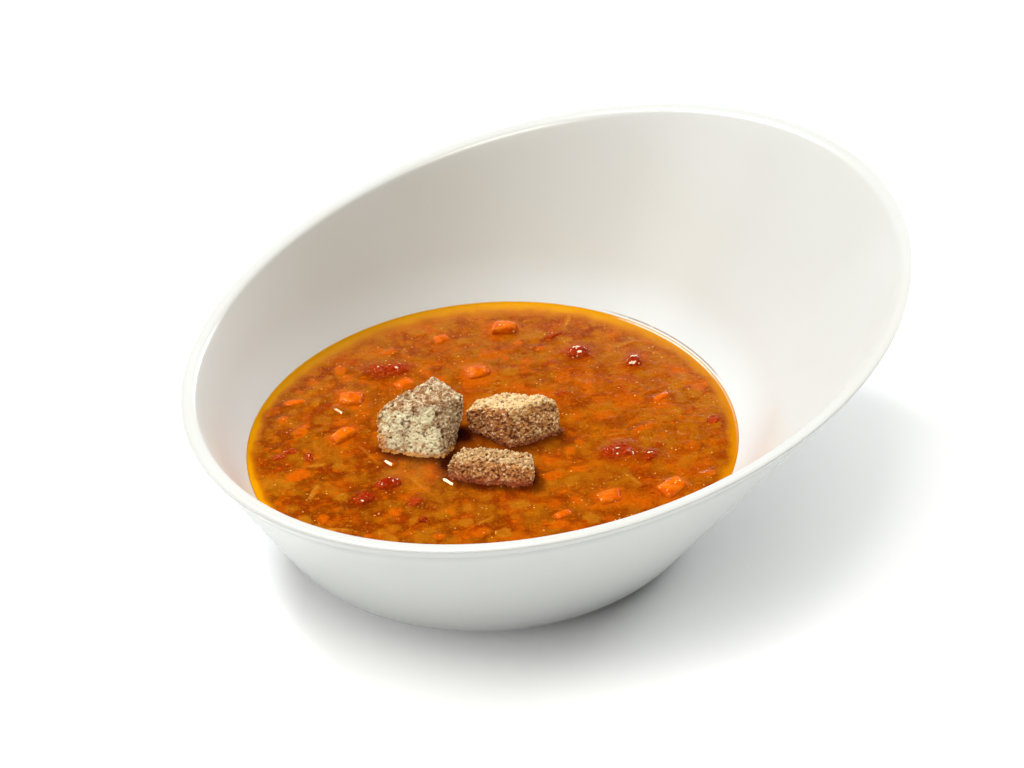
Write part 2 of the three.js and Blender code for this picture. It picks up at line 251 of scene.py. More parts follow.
# Smears of soup on the inner wall: place in the frame and reach in metres, colour and strength.
SMEARS = [
    ((0.0625, -0.0110, 0.0362), 0.0042, linear(234, 196, 140), 0.34),
    ((0.0612, -0.0190, 0.0368), 0.0040, linear(236, 194, 150), 0.34),
    ((0.0590, -0.0237, 0.0353), 0.0036, linear(236, 190, 150), 0.30),
    ((0.0010, 0.0747, 0.0311), 0.0012, linear(226, 196, 110), 0.8),
    ((0.0124, 0.0756, 0.0363), 0.0008, linear(226, 190, 110), 0.7),
]

# The film of soup on the wall and the thin dried line above it: heights over the soup's edge at
# which each is full and gone.
FILM_MM = (0.1, 0.15)
DRIED_LOW_MM = (0.6, 0.45)
DRIED_HIGH_MM = (0.75, 0.9)
# How far over the soup's edge the inner wall is painted lighter and cooler: painted light.
PAINTED_LIGHT_WALL_MM = 14


def number(name, description, default, **kind):
    """A setting that is a number."""
    return FloatProperty(name=name, description=description, default=default, **kind)


def length(name, description, default):
    return number(name, description, default, unit="LENGTH")


def angle_of(name, description, degrees):
    return number(name, description, math.radians(degrees), subtype="ANGLE")


def power(name, description, default):
    return number(name, description, default, unit="POWER")


def colour_of(name, description, default):
    """A setting that is a colour."""
    return FloatVectorProperty(
        name=name, description=description, default=default, subtype="COLOR", size=3
    )


class BowlSettings(bpy.types.PropertyGroup):
    """Sizes and glaze of the bowl."""

    foot_radius: length("Foot radius", "Where the line of the wall meets the table", 0.0584)
    rim_radius: length("Rim radius", "From the middle of the rim to the wall's outer face", 0.1037)
    rim_height: length("Rim height", "Height of the middle of the rim", 0.0646)
    rim_offset: length("Rim offset", "How far the middle of the rim is from over the foot's", 0.0189)
    rim_tilt: angle_of("Rim tilt", "How far the rim leans towards the low side", 10.65)
    rim_egg: number("Rim egg shape", "How far the rim is drawn out at the low side", 0.01, subtype="FACTOR")
    wall_at_foot: length("Wall at the foot", "Thickness of the wall", 0.0052)
    wall_at_rim: length("Wall at the rim", "Thickness of the wall", 0.0037)
    bead: length("Rim bead", "How far the rim's edge stands out from the wall", 0.0005)
    segments: IntProperty(
        name="Segments", description="Faces round the bowl", default=384, min=48, max=600
    )
    glaze: colour_of("Glaze", "Colour of the porcelain", (0.725, 0.727, 0.712))
    roughness: number("Glaze roughness", "How dull the glaze is", 0.26, subtype="FACTOR")


class SoupSettings(bpy.types.PropertyGroup):
    """Level, surface and colours of the soup."""

    level: length("Level", "Height of the soup's surface", 0.02305)
    wall_rise: length("Rise at the wall", "How far the soup creeps up the porcelain", 0.00025)
    creep: length("Creep", "How far from an edge the surface is level again", 0.0005)
    body: colour_of("Body", "Main colour of the soup", linear(169, 78, 3))
    deep: colour_of("Deep", "Colour of its darker, redder parts", linear(143, 50, 2))
    pale: colour_of("Pale", "Colour of lentils close under the surface", linear(202, 122, 14))
    oil: colour_of("Oil", "Colour of the ring of oil along the porcelain", linear(230, 154, 3))
    oil_width: length("Oil ring", "Width of the ring of oil", 0.0042)


class FoodSettings(bpy.types.PropertyGroup):
    """Croutons, carrot and tomato."""

    crumb_grain: length("Crumb grain", "Height of the bread's grain", 0.00046)
    crumb_pore: length("Crumb pores", "Depth of the bread's pores", 0.00055)
    crumb_detail: length("Crumb detail", "Size of the faces that a crouton is made of", 0.0002)
    carrot: colour_of("Carrot", "Colour of the carrot dice", linear(221, 97, 3))
    tomato: colour_of("Tomato", "Colour of the tomato pieces", linear(143, 20, 1))


class StageSettings(bpy.types.PropertyGroup):
    """Camera, floor and lights."""

    distance: length("Camera distance", "From the camera to the middle of the bowl's foot", 1.4)
    elevation: angle_of("Camera elevation", "Angle at which the camera looks down", 36.195)
    roll: angle_of("Camera roll", "How far the camera leans", 3.43)
    lens: number("Lens", "Focal length in millimetres", 173.53)
    key_power: power("Key light", "Power of the softbox behind the bowl at the left", 66.0)
    high_power: power("High light", "Power of the light above the camera", 60.0)
    back_power: power("Back light", "Power of the low light behind the bowl at the right", 76.0)
    side_power: power("Side light", "Power of the light at the left of the bowl", 9.0)
    room: number("Room light", "Brightness of the room", 0.02)
    glow: number("Floor glow", "Light that the floor gives off well away from the bowl", 0.48)


# How the picture frames the bowl: the foot's middle as pixels of a 1024 by 768 picture.
PICTURE_WIDTH = 1024
PICTURE_HEIGHT = 768
FOOT_PIXEL = (489.6, 509.2)
SENSOR_MM = 36


def foot_x(bowl):
    """Where the middle of the foot lies in the frame, whose origin is under the rim's middle."""
    reach = bowl.rim_radius + bowl.bead
    return bowl.rim_egg * reach * math.cos(bowl.rim_tilt) - bowl.rim_offset


def rim_point(bowl, angle, inset):
    """Points of the rim, counted from the foot's middle, for an array of angles."""
    reach = (bowl.rim_radius - inset) * (1 - bowl.rim_egg * np.cos(3 * angle))
    return np.stack(
        [
            bowl.rim_offset + reach * np.cos(angle) * math.cos(bowl.rim_tilt),
            reach * np.sin(angle),
            bowl.rim_height + reach * np.cos(angle) * math.sin(bowl.rim_tilt),
        ],
        axis=-1,
    )


def inner_wall_at_height(bowl, angle, height, gap=0.0):
    """Points of the inner wall at a height, for arrays of angles and heights, in the frame."""
    foot_reach = bowl.foot_radius - bowl.wall_at_foot - gap
    foot = np.stack([foot_reach * np.cos(angle), foot_reach * np.sin(angle), 0 * angle], axis=-1)
    rim = rim_point(bowl, angle, bowl.wall_at_rim + gap)
    share = (height / rim[..., 2])[..., None]
    points = foot + (rim - foot) * share
    points[..., 0] += foot_x(bowl)
    return points


def smooth_step(value, low, high):
    """0 below low, 1 above high, and an even slope between them, for arrays."""
    share = np.clip((value - low) / (high - low), 0, 1)
    return share * share * (3 - 2 * share)


def lattice_noise(x, y, seed):
    """Smooth noise from -1 to 1 over a plane, one bump to a unit, for arrays."""

    def corner(i, j):
        value = np.sin(i * 127.1 + j * 311.7 + seed * 53.3) * 43758.5453
        return (value - np.floor(value)) * 2 - 1

    i = np.floor(x)
    j = np.floor(y)
    u = smooth_step(x - i, 0, 1)
    v = smooth_step(y - j, 0, 1)
    low = corner(i, j) * (1 - u) + corner(i + 1, j) * u
    high = corner(i, j + 1) * (1 - u) + corner(i + 1, j + 1) * u
    return low * (1 - v) + high * v


class Value:
    """A number in a node tree. Sums and products of Values become Math nodes of that tree."""

    def __init__(self, tree, socket):
        self.tree = tree
        self.socket = socket

    def math(self, operation, *others):
        node = self.tree.nodes.new("ShaderNodeMath")
        node.operation = operation
        for slot, value in zip(node.inputs, (self, *others)):
            plug(self.tree, value, slot)
        return Value(self.tree, node.outputs[0])

    def __add__(self, other):
        return self.math("ADD", other)

    def __sub__(self, other):
        return self.math("SUBTRACT", other)

    def __mul__(self, other):
        return self.math("MULTIPLY", other)

    def __truediv__(self, other):
        return self.math("DIVIDE", other)

    def from_one(self):
        return (self * -1.0) + 1.0

    def towards(self, other, share):
        """This value, a share of the way towards another."""
        return self + (other - self) * share

    def ramp(self, low, high, start=0.0, end=1.0):
        """Start below low, end above high, and an even slope between them."""
        node = self.tree.nodes.new("ShaderNodeMapRange")
        node.interpolation_type = "SMOOTHSTEP"
        for slot, value in zip(node.inputs, (self, low, high, start, end)):
            plug(self.tree, value, slot)
        return Value(self.tree, node.outputs[0])


def plug(tree, value, slot):
    """Joins a Value or socket to a node's input, or sets the input to a constant."""
    if isinstance(value, Value):
        tree.links.new(value.socket, slot)
    elif isinstance(value, bpy.types.NodeSocket):
        tree.links.new(value, slot)
    else:
        slot.default_value = value


def add_node(tree, kind, inputs=None, **settings):
    """A new node with its settings and inputs, the inputs by name or number."""
    node = tree.nodes.new(kind)
    for name, value in settings.items():
        setattr(node, name, value)
    for name, value in (inputs or {}).items():
        plug(tree, value, node.inputs[name])
    return node


def split(tree, vector):
    """The three Values of a vector."""
    node = add_node(tree, "ShaderNodeSeparateXYZ", {0: vector})
    return [Value(tree, out) for out in node.outputs]


def join(tree, x, y, z):
    return add_node(tree, "ShaderNodeCombineXYZ", {0: x, 1: y, 2: z}).outputs[0]


def alike(tree, value):
    """A vector whose three parts are one value."""
    return join(tree, value, value, value)


def vector_math(tree, operation, *inputs):
    node = tree.nodes.new("ShaderNodeVectorMath")
    node.operation = operation
    for slot, value in zip(node.inputs, inputs):
        plug(tree, value, slot)
    return node.outputs["Value"] if operation in ("DOT_PRODUCT", "LENGTH", "DISTANCE") else node.outputs[0]


def pattern_place(tree, place, size, shift, stretch):
    """Where a pattern is read, so that its features are of a size in metres."""
    scale = tuple(share / size for share in stretch)
    return vector_math(tree, "MULTIPLY_ADD", place, scale, (shift, shift * 0.7, shift * 1.3))


def noise(tree, place, size, detail=2.0, roughness=0.5, shift=0.0, stretch=(1, 1, 1), warp=0.0):
    """Noise from 0 to 1 whose features are of a size in metres."""
    node = add_node(
        tree,
        "ShaderNodeTexNoise",
        {
            "Vector": pattern_place(tree, place, size, shift, stretch),
            "Scale": 1.0,
            "Detail": detail,
            "Roughness": roughness,
            "Distortion": warp,
        },
    )
    return Value(tree, node.outputs[0])


def cells(tree, place, size, shift=0.0, smooth=False, stretch=(1, 1, 1)):
    """Distance to the middle of the nearest of many random cells, and a random number of it."""
    node = add_node(
        tree,
        "ShaderNodeTexVoronoi",
        {"Vector": pattern_place(tree, place, size, shift, stretch), "Scale": 1.0},
        feature="SMOOTH_F1" if smooth else "F1",
    )
    return Value(tree, node.outputs["Distance"]), split(tree, node.outputs["Color"])[0]


def mix_colours(tree, share, low, high, blend="MIX"):
    """One colour turned into another by a share."""
    node = add_node(tree, "ShaderNodeMix", data_type="RGBA", blend_type=blend)
    plug(tree, share, node.inputs[0])
    for value, slot in ((low, node.inputs[6]), (high, node.inputs[7])):
        plug(tree, (*value, 1.0) if isinstance(value, tuple) else value, slot)
    return node.outputs[2]


def attribute(tree, name):
    return add_node(tree, "ShaderNodeAttribute", attribute_name=name)


def marked(tree, name):
    """The number that an attribute holds."""
    return Value(tree, attribute(tree, name).outputs["Fac"])


class Paint:
    """The colour of a surface, laid on coat by coat."""

    def __init__(self, tree, colour):
        self.tree = tree
        self.colour = colour

    def coat(self, share, colour):
        """Turns the colour into another by a share."""
        self.colour = mix_colours(self.tree, share, self.colour, colour)


def specks(tree, place, size, reach, chosen, **pattern):
    """Specks in random cells: how far each reaches, and which of the cells have one."""
    middle, luck = cells(tree, place, size, **pattern)
    return middle.ramp(*reach) * luck.ramp(*chosen)


def new_material(name, roughness, gloss=None, **settings):
    """A material, its tree, its shader and the place on the object that patterns are drawn by.

    The gloss of what soup covers has a tint and a strength, so that white surroundings don't
    show in it as a veil.
    """
    material = bpy.data.materials.new(name)
    material.use_nodes = True
    tree = material.node_tree
    shader = next(node for node in tree.nodes if node.type == "BSDF_PRINCIPLED")
    shader.inputs["Roughness"].default_value = roughness
    for key, value in settings.items():
        shader.inputs[key.replace("_", " ")].default_value = value
    if gloss:
        tint, strength = gloss
        shader.inputs["Specular Tint"].default_value = (*tint, 1.0)
        shader.inputs["Specular IOR Level"].default_value = strength
    place = add_node(tree, "ShaderNodeTexCoord").outputs["Object"]
    return material, tree, shader, place


def set_surface(tree, shader, colour, relief, strength, distance):
    """Gives a shader its colour and its fine relief."""
    tree.links.new(colour, shader.inputs["Base Color"])
    bump = add_node(tree, "ShaderNodeBump", {"Height": relief, "Strength": strength, "Distance": distance})
    tree.links.new(bump.outputs[0], shader.inputs["Normal"])


def porcelain_material(bowl, soup):
    """Glossy white glaze with a faint unevenness, and thin smears and a film of soup inside; its outside is
    painted darker as shade and the wall just over the soup painted lighter.
    """
    material, tree, shader, place = new_material("Porcelain", bowl.roughness, IOR=1.5)
    across, depth, height = split(tree, place)
    inside = split(tree, tree.nodes.new("ShaderNodeNewGeometry").outputs["Normal"])[2].ramp(0.0, 0.2)
    streaks = noise(tree, place, 0.006, detail=3.0, roughness=0.6)
    edge = soup.level + soup.wall_rise

    def over_edge(full, gone):
        return height.ramp(edge + gone * MM, edge + full * MM)

    red, green, blue = bowl.glaze
    paint = Paint(tree, (red, green, blue))
    warmer = (red * 0.985, green * 0.975, blue * 0.95)
    paint.coat(noise(tree, place, 0.05, detail=3.0).ramp(0.35, 0.7), warmer)
    for middle, reach, tint, strength in SMEARS:
        away = Value(tree, vector_math(tree, "DISTANCE", place, middle))
        paint.coat(away.ramp(reach, reach * 0.25) * streaks.ramp(0.42, 0.68) * strength, tint)
    # Faces that look down, the outside and underneath, are painted darker: painted shade.
    paint.coat(inside.from_one(), (0.65, 0.66, 0.65))
    # The inner wall just over the soup is painted lighter and cooler: painted light against the warm shade
    # that the soup throws there.
    paint.coat(over_edge(0, PAINTED_LIGHT_WALL_MM) * inside, (0.81, 0.855, 0.87))
    paint.coat(over_edge(*FILM_MM) * inside * streaks.ramp(0.2, 0.5, 0.5, 1.0), linear(240, 186, 96))
    dried = over_edge(*DRIED_LOW_MM) * over_edge(*DRIED_HIGH_MM)
    dried = dried * across.ramp(0.016, 0.028) * depth.ramp(0.020, 0.030) * inside
    paint.coat(dried * streaks.ramp(0.3, 0.5, 0.35, 0.75), linear(150, 104, 50))
    ripple = noise(tree, place, 0.012, detail=1.0) + noise(tree, place, 0.0016, detail=1.0, shift=4.0) * 0.05
    set_surface(tree, shader, paint.colour, ripple, 0.25, 0.0001)
    return material


def soup_material(soup):
    """Wet soup: mottled body, lentils under the surface, food seen through it, the oil ring, and painted
    shade, glints and an edge highlight.
    """
    material, tree, shader, place = new_material("Soup", 0.1, ((1.0, 0.80, 0.40), 0.36), IOR=1.36)
    across, depth, _ = split(tree, place)
    paint = Paint(tree, tuple(soup.body))
    # Darker and browner towards the front and the left: painted shade.
    paint.coat((across * 0.8 + depth).ramp(0.036, -0.064), linear(134, 58, 2))
    mottle = noise(tree, place, 0.0075, detail=5.0, roughness=0.62, warp=0.5)
    paint.coat(mottle.ramp(0.43, 0.62) * 0.85, tuple(soup.deep))
    olive = noise(tree, place, 0.011, detail=4.0, shift=7.0, warp=0.6)
    paint.coat(olive.ramp(0.50, 0.66) * 0.6, linear(178, 102, 10))
    bright = noise(tree, place, 0.0055, detail=3.0, shift=12.0, warp=0.4)
    paint.coat(bright.ramp(0.52, 0.68) * 0.45, linear(214, 95, 2))
    lentils = specks(tree, place, 0.0034, (0.62, 0.22), (0.3, 0.75), shift=3.0, smooth=True)
    paint.coat(lentils * 0.4, tuple(soup.pale))
    seen = attribute(tree, "food_below")
    fleck = noise(tree, place, 0.0015, detail=2.0, shift=31.0)
    paint.coat(Value(tree, seen.outputs["Alpha"]) * fleck.ramp(0.25, 0.75, 0.72, 1.0), seen.outputs["Color"])
    pulp = noise(tree, place, 0.00085, detail=3.0, roughness=0.65, shift=11.0)
    paint.coat(pulp.ramp(0.54, 0.74) * 0.5, linear(222, 128, 14))
    paint.coat(pulp.ramp(0.46, 0.28) * 0.5, linear(140, 48, 1))
    grit = noise(tree, place, 0.00045, detail=2.0, roughness=0.6, shift=51.0)
    paint.coat(grit.ramp(0.58, 0.72) * 0.3, linear(230, 142, 24))
    paint.coat(grit.ramp(0.42, 0.30) * 0.25, linear(140, 46, 1))
    chip, luck = cells(tree, place, 0.0019, shift=61.0, stretch=(0.7, 1.0, 1.0))
    chips = (chip + (pulp - 0.5) * 0.6).ramp(0.42, 0.22) * 0.5
    paint.coat(chips * luck.ramp(0.70, 0.82), linear(220, 98, 3))
    paint.coat(chips * luck.ramp(0.16, 0.08), linear(150, 46, 2))
    oil = marked(tree, "oil")
    # Pale specks away from the oil are painted glints; the same cells also give small bumps in the relief.
    droplets_and_glints, chance = cells(tree, place, 0.0011, shift=41.0)
    clusters = noise(tree, place, 0.009, detail=2.0, shift=45.0).ramp(0.42, 0.62, 0.25, 1.0)
    painted_sparkle = droplets_and_glints.ramp(0.30, 0.14) * chance.ramp(0.80, 0.90) * clusters * oil.from_one()
    paint.coat(painted_sparkle * 0.85, linear(250, 192, 96))
    spice = specks(tree, place, 0.0017, (0.28, 0.12), (0.88, 0.93), shift=21.0)
    paint.coat(spice * 0.5, linear(134, 46, 6))
    amber = Paint(tree, linear(208, 118, 4))
    amber.coat(oil.ramp(0.4, 0.95), tuple(soup.oil))
    amber.coat(across.ramp(0.005, 0.045) * 0.8, linear(208, 124, 2))
    paint.coat(oil.ramp(0.02, 0.80), amber.colour)
    paint.coat(0.12, (0.0, 0.0, 0.0))
    # Painted highlight: a thin line of light along the soup's edge at the right and back.
    paint.coat(marked(tree, "painted_edge_shine") * fleck.ramp(0.2, 0.5, 0.6, 1.0), linear(255, 247, 228))
    paint.coat(marked(tree, "soup_shade"), linear(48, 5, 2))
    calm = oil.ramp(0.1, 0.8, 1.0, 0.1) * marked(tree, "still").ramp(0.0, 1.0, 1.0, 0.06)
    relief = noise(tree, place, 0.0026, detail=3.0, roughness=0.6, shift=13.0) * 0.7
    relief = relief + noise(tree, place, 0.0009, detail=2.0, shift=17.0) * 0.3
    relief = relief + droplets_and_glints.ramp(0.36, 0.05) * chance.ramp(0.6, 0.8) * 0.25
    set_surface(tree, shader, paint.colour, relief * calm, 0.5, 0.0005)
    return material


def crouton_material():
    """Toasted wholemeal crumb, from attributes that say where it is toasted, soaked or pitted, with painted
    shade and highlights.
    """
    material, tree, shader, place = new_material(
        "Crouton",
        0.9,
        ((1.0, 0.8, 0.6), 0.25),
        IOR=1.4,
        Sheen_Weight=0.25,
        Sheen_Roughness=0.6,
        Sheen_Tint=(1.0, 0.9, 0.72, 1.0),
    )
    base, pit, soak = [
        attribute(tree, f"{name}_colour").outputs["Color"] for name in ("crumb", "pit", "soak")
    ]
    grain = noise(tree, place, 0.00045, detail=3.0, roughness=0.65)
    patches = noise(tree, place, 0.0034, detail=3.0, roughness=0.6, shift=5.0)
    sponge = noise(tree, place, 0.00095, detail=2.0, roughness=0.55, shift=15.0)
    low = marked(tree, "pore") + (grain - 0.5) * 0.9 + (sponge - 0.5) * 2.2 + (patches - 0.5) * 0.8
    paint = Paint(tree, base)
    # Raised crumbs are painted paler, a painted highlight on their tips; deep points turn to the pit colour,
    # painted shade in the pores with browner crumb.
    paint.coat(low.ramp(0.28, -0.06) * 0.9, mix_colours(tree, 0.7, base, linear(255, 240, 206)))
    paint.coat(low.ramp(0.44, 0.92) * split(tree, base)[0].ramp(0.9, 0.55, 0.7, 0.95), pit)
    bran = specks(tree, place, 0.0011, (0.42, 0.2), (0.74, 0.82), shift=9.0)
    paint.coat(bran * 0.75, linear(126, 60, 30))
    wet = (marked(tree, "soaked") + (patches - 0.5) * 0.9 + (grain - 0.5) * 0.4).ramp(0.15, 0.95)
    paint.coat(wet * 0.88, soak)
    plug(tree, wet.ramp(0.3, 1.0, 0.9, 0.5), shader.inputs["Roughness"])
    set_surface(tree, shader, paint.colour, grain, 0.6, 0.0004)
    return material


def carrot_material(food, soup):
    """Cooked carrot: bright, wet, a little paler along its grain, stained where the soup covers it, with
    painted glints.
    """
    material, tree, shader, place = new_material("Carrot", 0.16, ((1.0, 0.7, 0.3), 0.28), IOR=1.4)
    paint = Paint(tree, tuple(food.carrot))
    fibre = noise(tree, place, 0.0014, detail=3.0, stretch=(0.45, 1.0, 1.0))
    paint.coat(fibre.ramp(0.35, 0.7), linear(228, 118, 10))
    blotch = noise(tree, place, 0.004, detail=2.0, shift=3.0)
    paint.coat(blotch.ramp(0.48, 0.66) * 0.7, linear(203, 73, 3))
    height = split(tree, place)[2] + (blotch - 0.5) * 0.001
    paint.coat(height.ramp(soup.level + 0.0014, soup.level + 0.0001) * 0.6, tuple(soup.body))
    # Painted glints: small pale specks.
    painted_shine = specks(tree, place, 0.0013, (0.28, 0.14), (0.84, 0.90), shift=33.0)
    paint.coat(painted_shine * 0.8, linear(255, 220, 170))
    relief = fibre + noise(tree, place, 0.0006, shift=8.0) * 0.6
    set_surface(tree, shader, paint.colour, relief, 0.6, 0.0003)
    return material


def tomato_material(food, soup):
    """Cooked tomato flesh: deep red, glistening, with paler threads and painted glints."""
    material, tree, shader, place = new_material("Tomato", 0.05, ((1.0, 0.62, 0.3), 0.18), IOR=1.4)
    paint = Paint(tree, tuple(food.tomato))
    flesh = noise(tree, place, 0.0018, detail=3.0, roughness=0.6)
    paint.coat(flesh.ramp(0.42, 0.62), linear(168, 38, 2))
    threads = noise(tree, place, 0.001, detail=2.0, stretch=(0.4, 1.2, 1.0), shift=6.0)
    paint.coat(threads.ramp(0.6, 0.78) * 0.25, linear(200, 84, 14))
    height = split(tree, place)[2] + (flesh - 0.5) * 0.0014
    paint.coat(height.ramp(soup.level + 0.0022, soup.level + 0.0001) * 0.85, linear(170, 60, 3))
    above = height.ramp(soup.level + 0.0004, soup.level + 0.0009)
    # Painted glints: pale specks, strokes on the parts above the soup, and the listed strokes.
    painted_shine = specks(tree, place, 0.0011, (0.34, 0.18), (0.78, 0.86), shift=27.0)
    strokes = specks(tree, place, 0.0016, (0.30, 0.20), (0.46, 0.52), shift=71.0, stretch=(0.55, 1.0, 1.0))
    painted_shine = painted_shine.math("MAXIMUM", strokes * above)
    for node, glints in TOMATO_GLINTS_MM.items():
        low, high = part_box(node)
        for (at_x, at_y), (reach_x, reach_y) in glints:
            middle = ((low.x + high.x) / 2 + at_x * MM, (low.y + high.y) / 2 + at_y * MM, 0.0)
            away = vector_math(tree, "SUBTRACT", place, middle)
            flat = vector_math(tree, "MULTIPLY", away, (1 / (reach_x * MM), 1 / (reach_y * MM), 0.0))
            reach = Value(tree, vector_math(tree, "LENGTH", flat)) + (threads - 0.5) * 1.2
            painted_shine = painted_shine.math("MAXIMUM", reach.ramp(1.0, 0.8) * above)
    paint.coat(painted_shine * 0.95, linear(255, 232, 200))
    glisten = noise(tree, place, 0.0009, detail=2.0, shift=15.0)
    relief = flesh * 0.4 + threads * 0.2 + glisten * 0.3
    set_surface(tree, shader, paint.colour, relief, 1.0, 0.0008)
    return material


def bit_material(kind):
    """The wet surface of one kind of small thing."""
    gloss = ((1.0, 0.75, 0.4), 0.2)
    roughness = WHOLE_LOOKS[kind]["roughness"]
    material, tree, shader, place = new_material(f"Small {kind}", roughness, gloss, IOR=1.38)
    base = BIT_LOOKS[kind]["colour"]
    patches = noise(tree, place, 0.0026, detail=3.0, roughness=0.6)
    paint = Paint(tree, base)
    paint.coat(patches.ramp(0.5, 0.7), tuple(min(1.0, channel * 1.22 + 0.004) for channel in base))
    paint.coat(patches.ramp(0.5, 0.34), tuple(channel * 0.78 for channel in base))
    relief = noise(tree, place, 0.0007, detail=2.0, shift=4.0)
    set_surface(tree, shader, paint.colour, relief, 0.5, 0.0002)
    return material


def new_object(name, data):
    """An object in the scene, in the frame."""
    made = bpy.data.objects.new(name, data)
    bpy.context.scene.collection.objects.link(made)
    return made


def mesh_from(name, points, faces):
    mesh = bpy.data.meshes.new(name)
    mesh.from_pydata([tuple(p) for p in points], [], faces)
    mesh.validate()
    return mesh


def make_plain(made):
    """Turns what the modifiers of an object make into its own mesh, smooth shaded."""
    depsgraph = bpy.context.evaluated_depsgraph_get()
    shown = made.evaluated_get(depsgraph)
    mesh = bpy.data.meshes.new_from_object(shown, preserve_all_data_layers=True, depsgraph=depsgraph)
    made.modifiers.clear()
    old = made.data
    made.data = mesh
    mesh.name = made.name
    bpy.data.meshes.remove(old)
    mesh.shade_smooth()
    return made


def add_geometry_nodes(made, tree, inputs):
    """A Geometry Nodes modifier with its named inputs set."""
    modifier = made.modifiers.new(tree.name, "NODES")
    modifier.node_group = tree
    for item in tree.interface.items_tree:
        if item.item_type == "SOCKET" and item.in_out == "INPUT" and item.name in inputs:
            modifier[item.identifier] = inputs[item.name]
    return modifier


def new_geometry_tree(name, inputs):
    """A Geometry Nodes tree with a geometry in and out, and its further inputs by name and kind."""
    tree = bpy.data.node_groups.new(name, "GeometryNodeTree")
    tree.interface.new_socket(name="Geometry", in_out="INPUT", socket_type="NodeSocketGeometry")
    for title, kind in inputs.items():
        tree.interface.new_socket(name=title, in_out="INPUT", socket_type=f"NodeSocket{kind}")
    tree.interface.new_socket(name="Geometry", in_out="OUTPUT", socket_type="NodeSocketGeometry")
    source = tree.nodes.new("NodeGroupInput")
    values = {title: Value(tree, source.outputs[title]) for title, kind in inputs.items()}
    return tree, source.outputs["Geometry"], values


def end_geometry_tree(tree, geometry, material):
    """Ends a tree with real geometry, smooth shading and its material."""
    real = add_node(tree, "GeometryNodeRealizeInstances", {"Geometry": geometry})
    smooth = add_node(tree, "GeometryNodeSetShadeSmooth", {"Geometry": real.outputs[0]})
    painted = add_node(
        tree, "GeometryNodeSetMaterial", {"Geometry": smooth.outputs[0], "Material": material}
    )
    sink = tree.nodes.new("NodeGroupOutput")
    tree.links.new(painted.outputs[0], sink.inputs[0])


def named_vector(tree, name):
    inputs = {"Name": name}
    return add_node(tree, "GeometryNodeInputNamedAttribute", inputs, data_type="FLOAT_VECTOR").outputs[0]


def position_of(tree):
    return tree.nodes.new("GeometryNodeInputPosition").outputs[0]


def moved(tree, geometry, offset):
    """The geometry with each point moved by an offset."""
    return add_node(tree, "GeometryNodeSetPosition", {"Geometry": geometry, "Offset": offset}).outputs[0]


def raised(tree, piece, height):
    """The piece with each point moved out along its normal by a height."""
    normal = tree.nodes.new("GeometryNodeInputNormal").outputs[0]
    return moved(tree, piece, vector_math(tree, "MULTIPLY", normal, alike(tree, height)))


def set_attribute(mesh, name, values, kind="FLOAT"):
    """Stores an array on a mesh's points: kind is FLOAT, FLOAT_VECTOR or FLOAT_COLOR."""
    layer = mesh.attributes.new(name, kind, "POINT")
    field = {"FLOAT": "value", "FLOAT_VECTOR": "vector", "FLOAT_COLOR": "color"}[kind]
    layer.data.foreach_set(field, np.asarray(values, np.float32).ravel())


def mesh_vectors(items, field):
    """One vector of each item of a mesh, as an array."""
    vectors = np.empty(len(items) * 3, np.float32)
    items.foreach_get(field, vectors)
    return vectors.reshape(-1, 3).astype(float)


def blended(colours, tint, share):
    """An array of colours, turned towards one tint by an array of shares."""
    return colours + (np.array(tint) - colours) * share[:, None]


def rounded_copy(node, ending, levels):
    """A copy of a solid's mesh whose loose triangles are joined, rounded by subdivision."""
    name = f"{node}_{ending}"
    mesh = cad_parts[node].data.copy()
    mesh.name = name
    mesh.materials.clear()
    work = bmesh.new()
    work.from_mesh(mesh)
    bmesh.ops.remove_doubles(work, verts=work.verts, dist=SAME_POINT)
    work.to_mesh(mesh)
    work.free()
    made = new_object(name, mesh)
    rounding = made.modifiers.new("Rounding", "SUBSURF")
    rounding.levels = levels
    rounding.render_levels = levels
    return made


def face_outwards(made):
    """Turns a closed mesh's faces so that they point out."""
    work = bmesh.new()
    work.from_mesh(made.data)
    if work.calc_volume(signed=True) < 0:
        bmesh.ops.reverse_faces(work, faces=work.faces)
    work.to_mesh(made.data)
    work.free()


def stand_for(made, slot, *nodes):
    """The piece rides on the bowl's body and stands for its solids, which are hidden."""
    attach(made, "root")
    if nodes:
        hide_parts(*nodes)


def rounded(points, steps):
    """A smooth line through points, by Catmull and Rom's rule."""
    points = [np.array(p, float) for p in points]
    ends = [points[0], *points, points[-1]]
    line = []
    for before, start, end, after in zip(ends, ends[1:], ends[2:], ends[3:]):
        for step in range(steps):
            t = step / steps
            line.append(
                0.5
                * (
                    2 * start
                    + (end - before) * t
                    + (2 * before - 5 * start + 4 * end - after) * t * t
                    + (3 * start - before - 3 * end + after) * t**3
                )
            )
    line.append(points[-1])
    return line


FOOT_FLAT_MM = 54.2
RECESS_RADIUS_MM = 44
RECESS_MM = 1.5
RECESS_BEVEL_MM = 2
HEEL_HEIGHT_MM = 5
FLOOR_HEIGHT_MM = 5
FLOOR_RADIUS_MM = 42
FLOOR_CURVE_HEIGHT_MM = 17
BEAD_DEPTH_MM = 5
CURVE_STEPS = 12
WALL_STEPS = 16
RIM_STEPS = 4


def section_row(level=0, radius=0, height=0, wall_height=0, drop=0, near_rim=0, insets=(0, 0)):
    """One point of the bowl's section, in metres.

    It is a level ring of a radius and height, or a point of the sloping wall, or between the two
    by level. A wall point is at a height above the table, or a drop below the rim, or between the
    two by near_rim, and its insets are from the outer face at the foot and at the rim.
    """
    return np.array([radius, height, level, wall_height, drop, near_rim, *insets], float)


def rows_between(start, end, steps):
    return [start + (end - start) * step / steps for step in range(steps)]


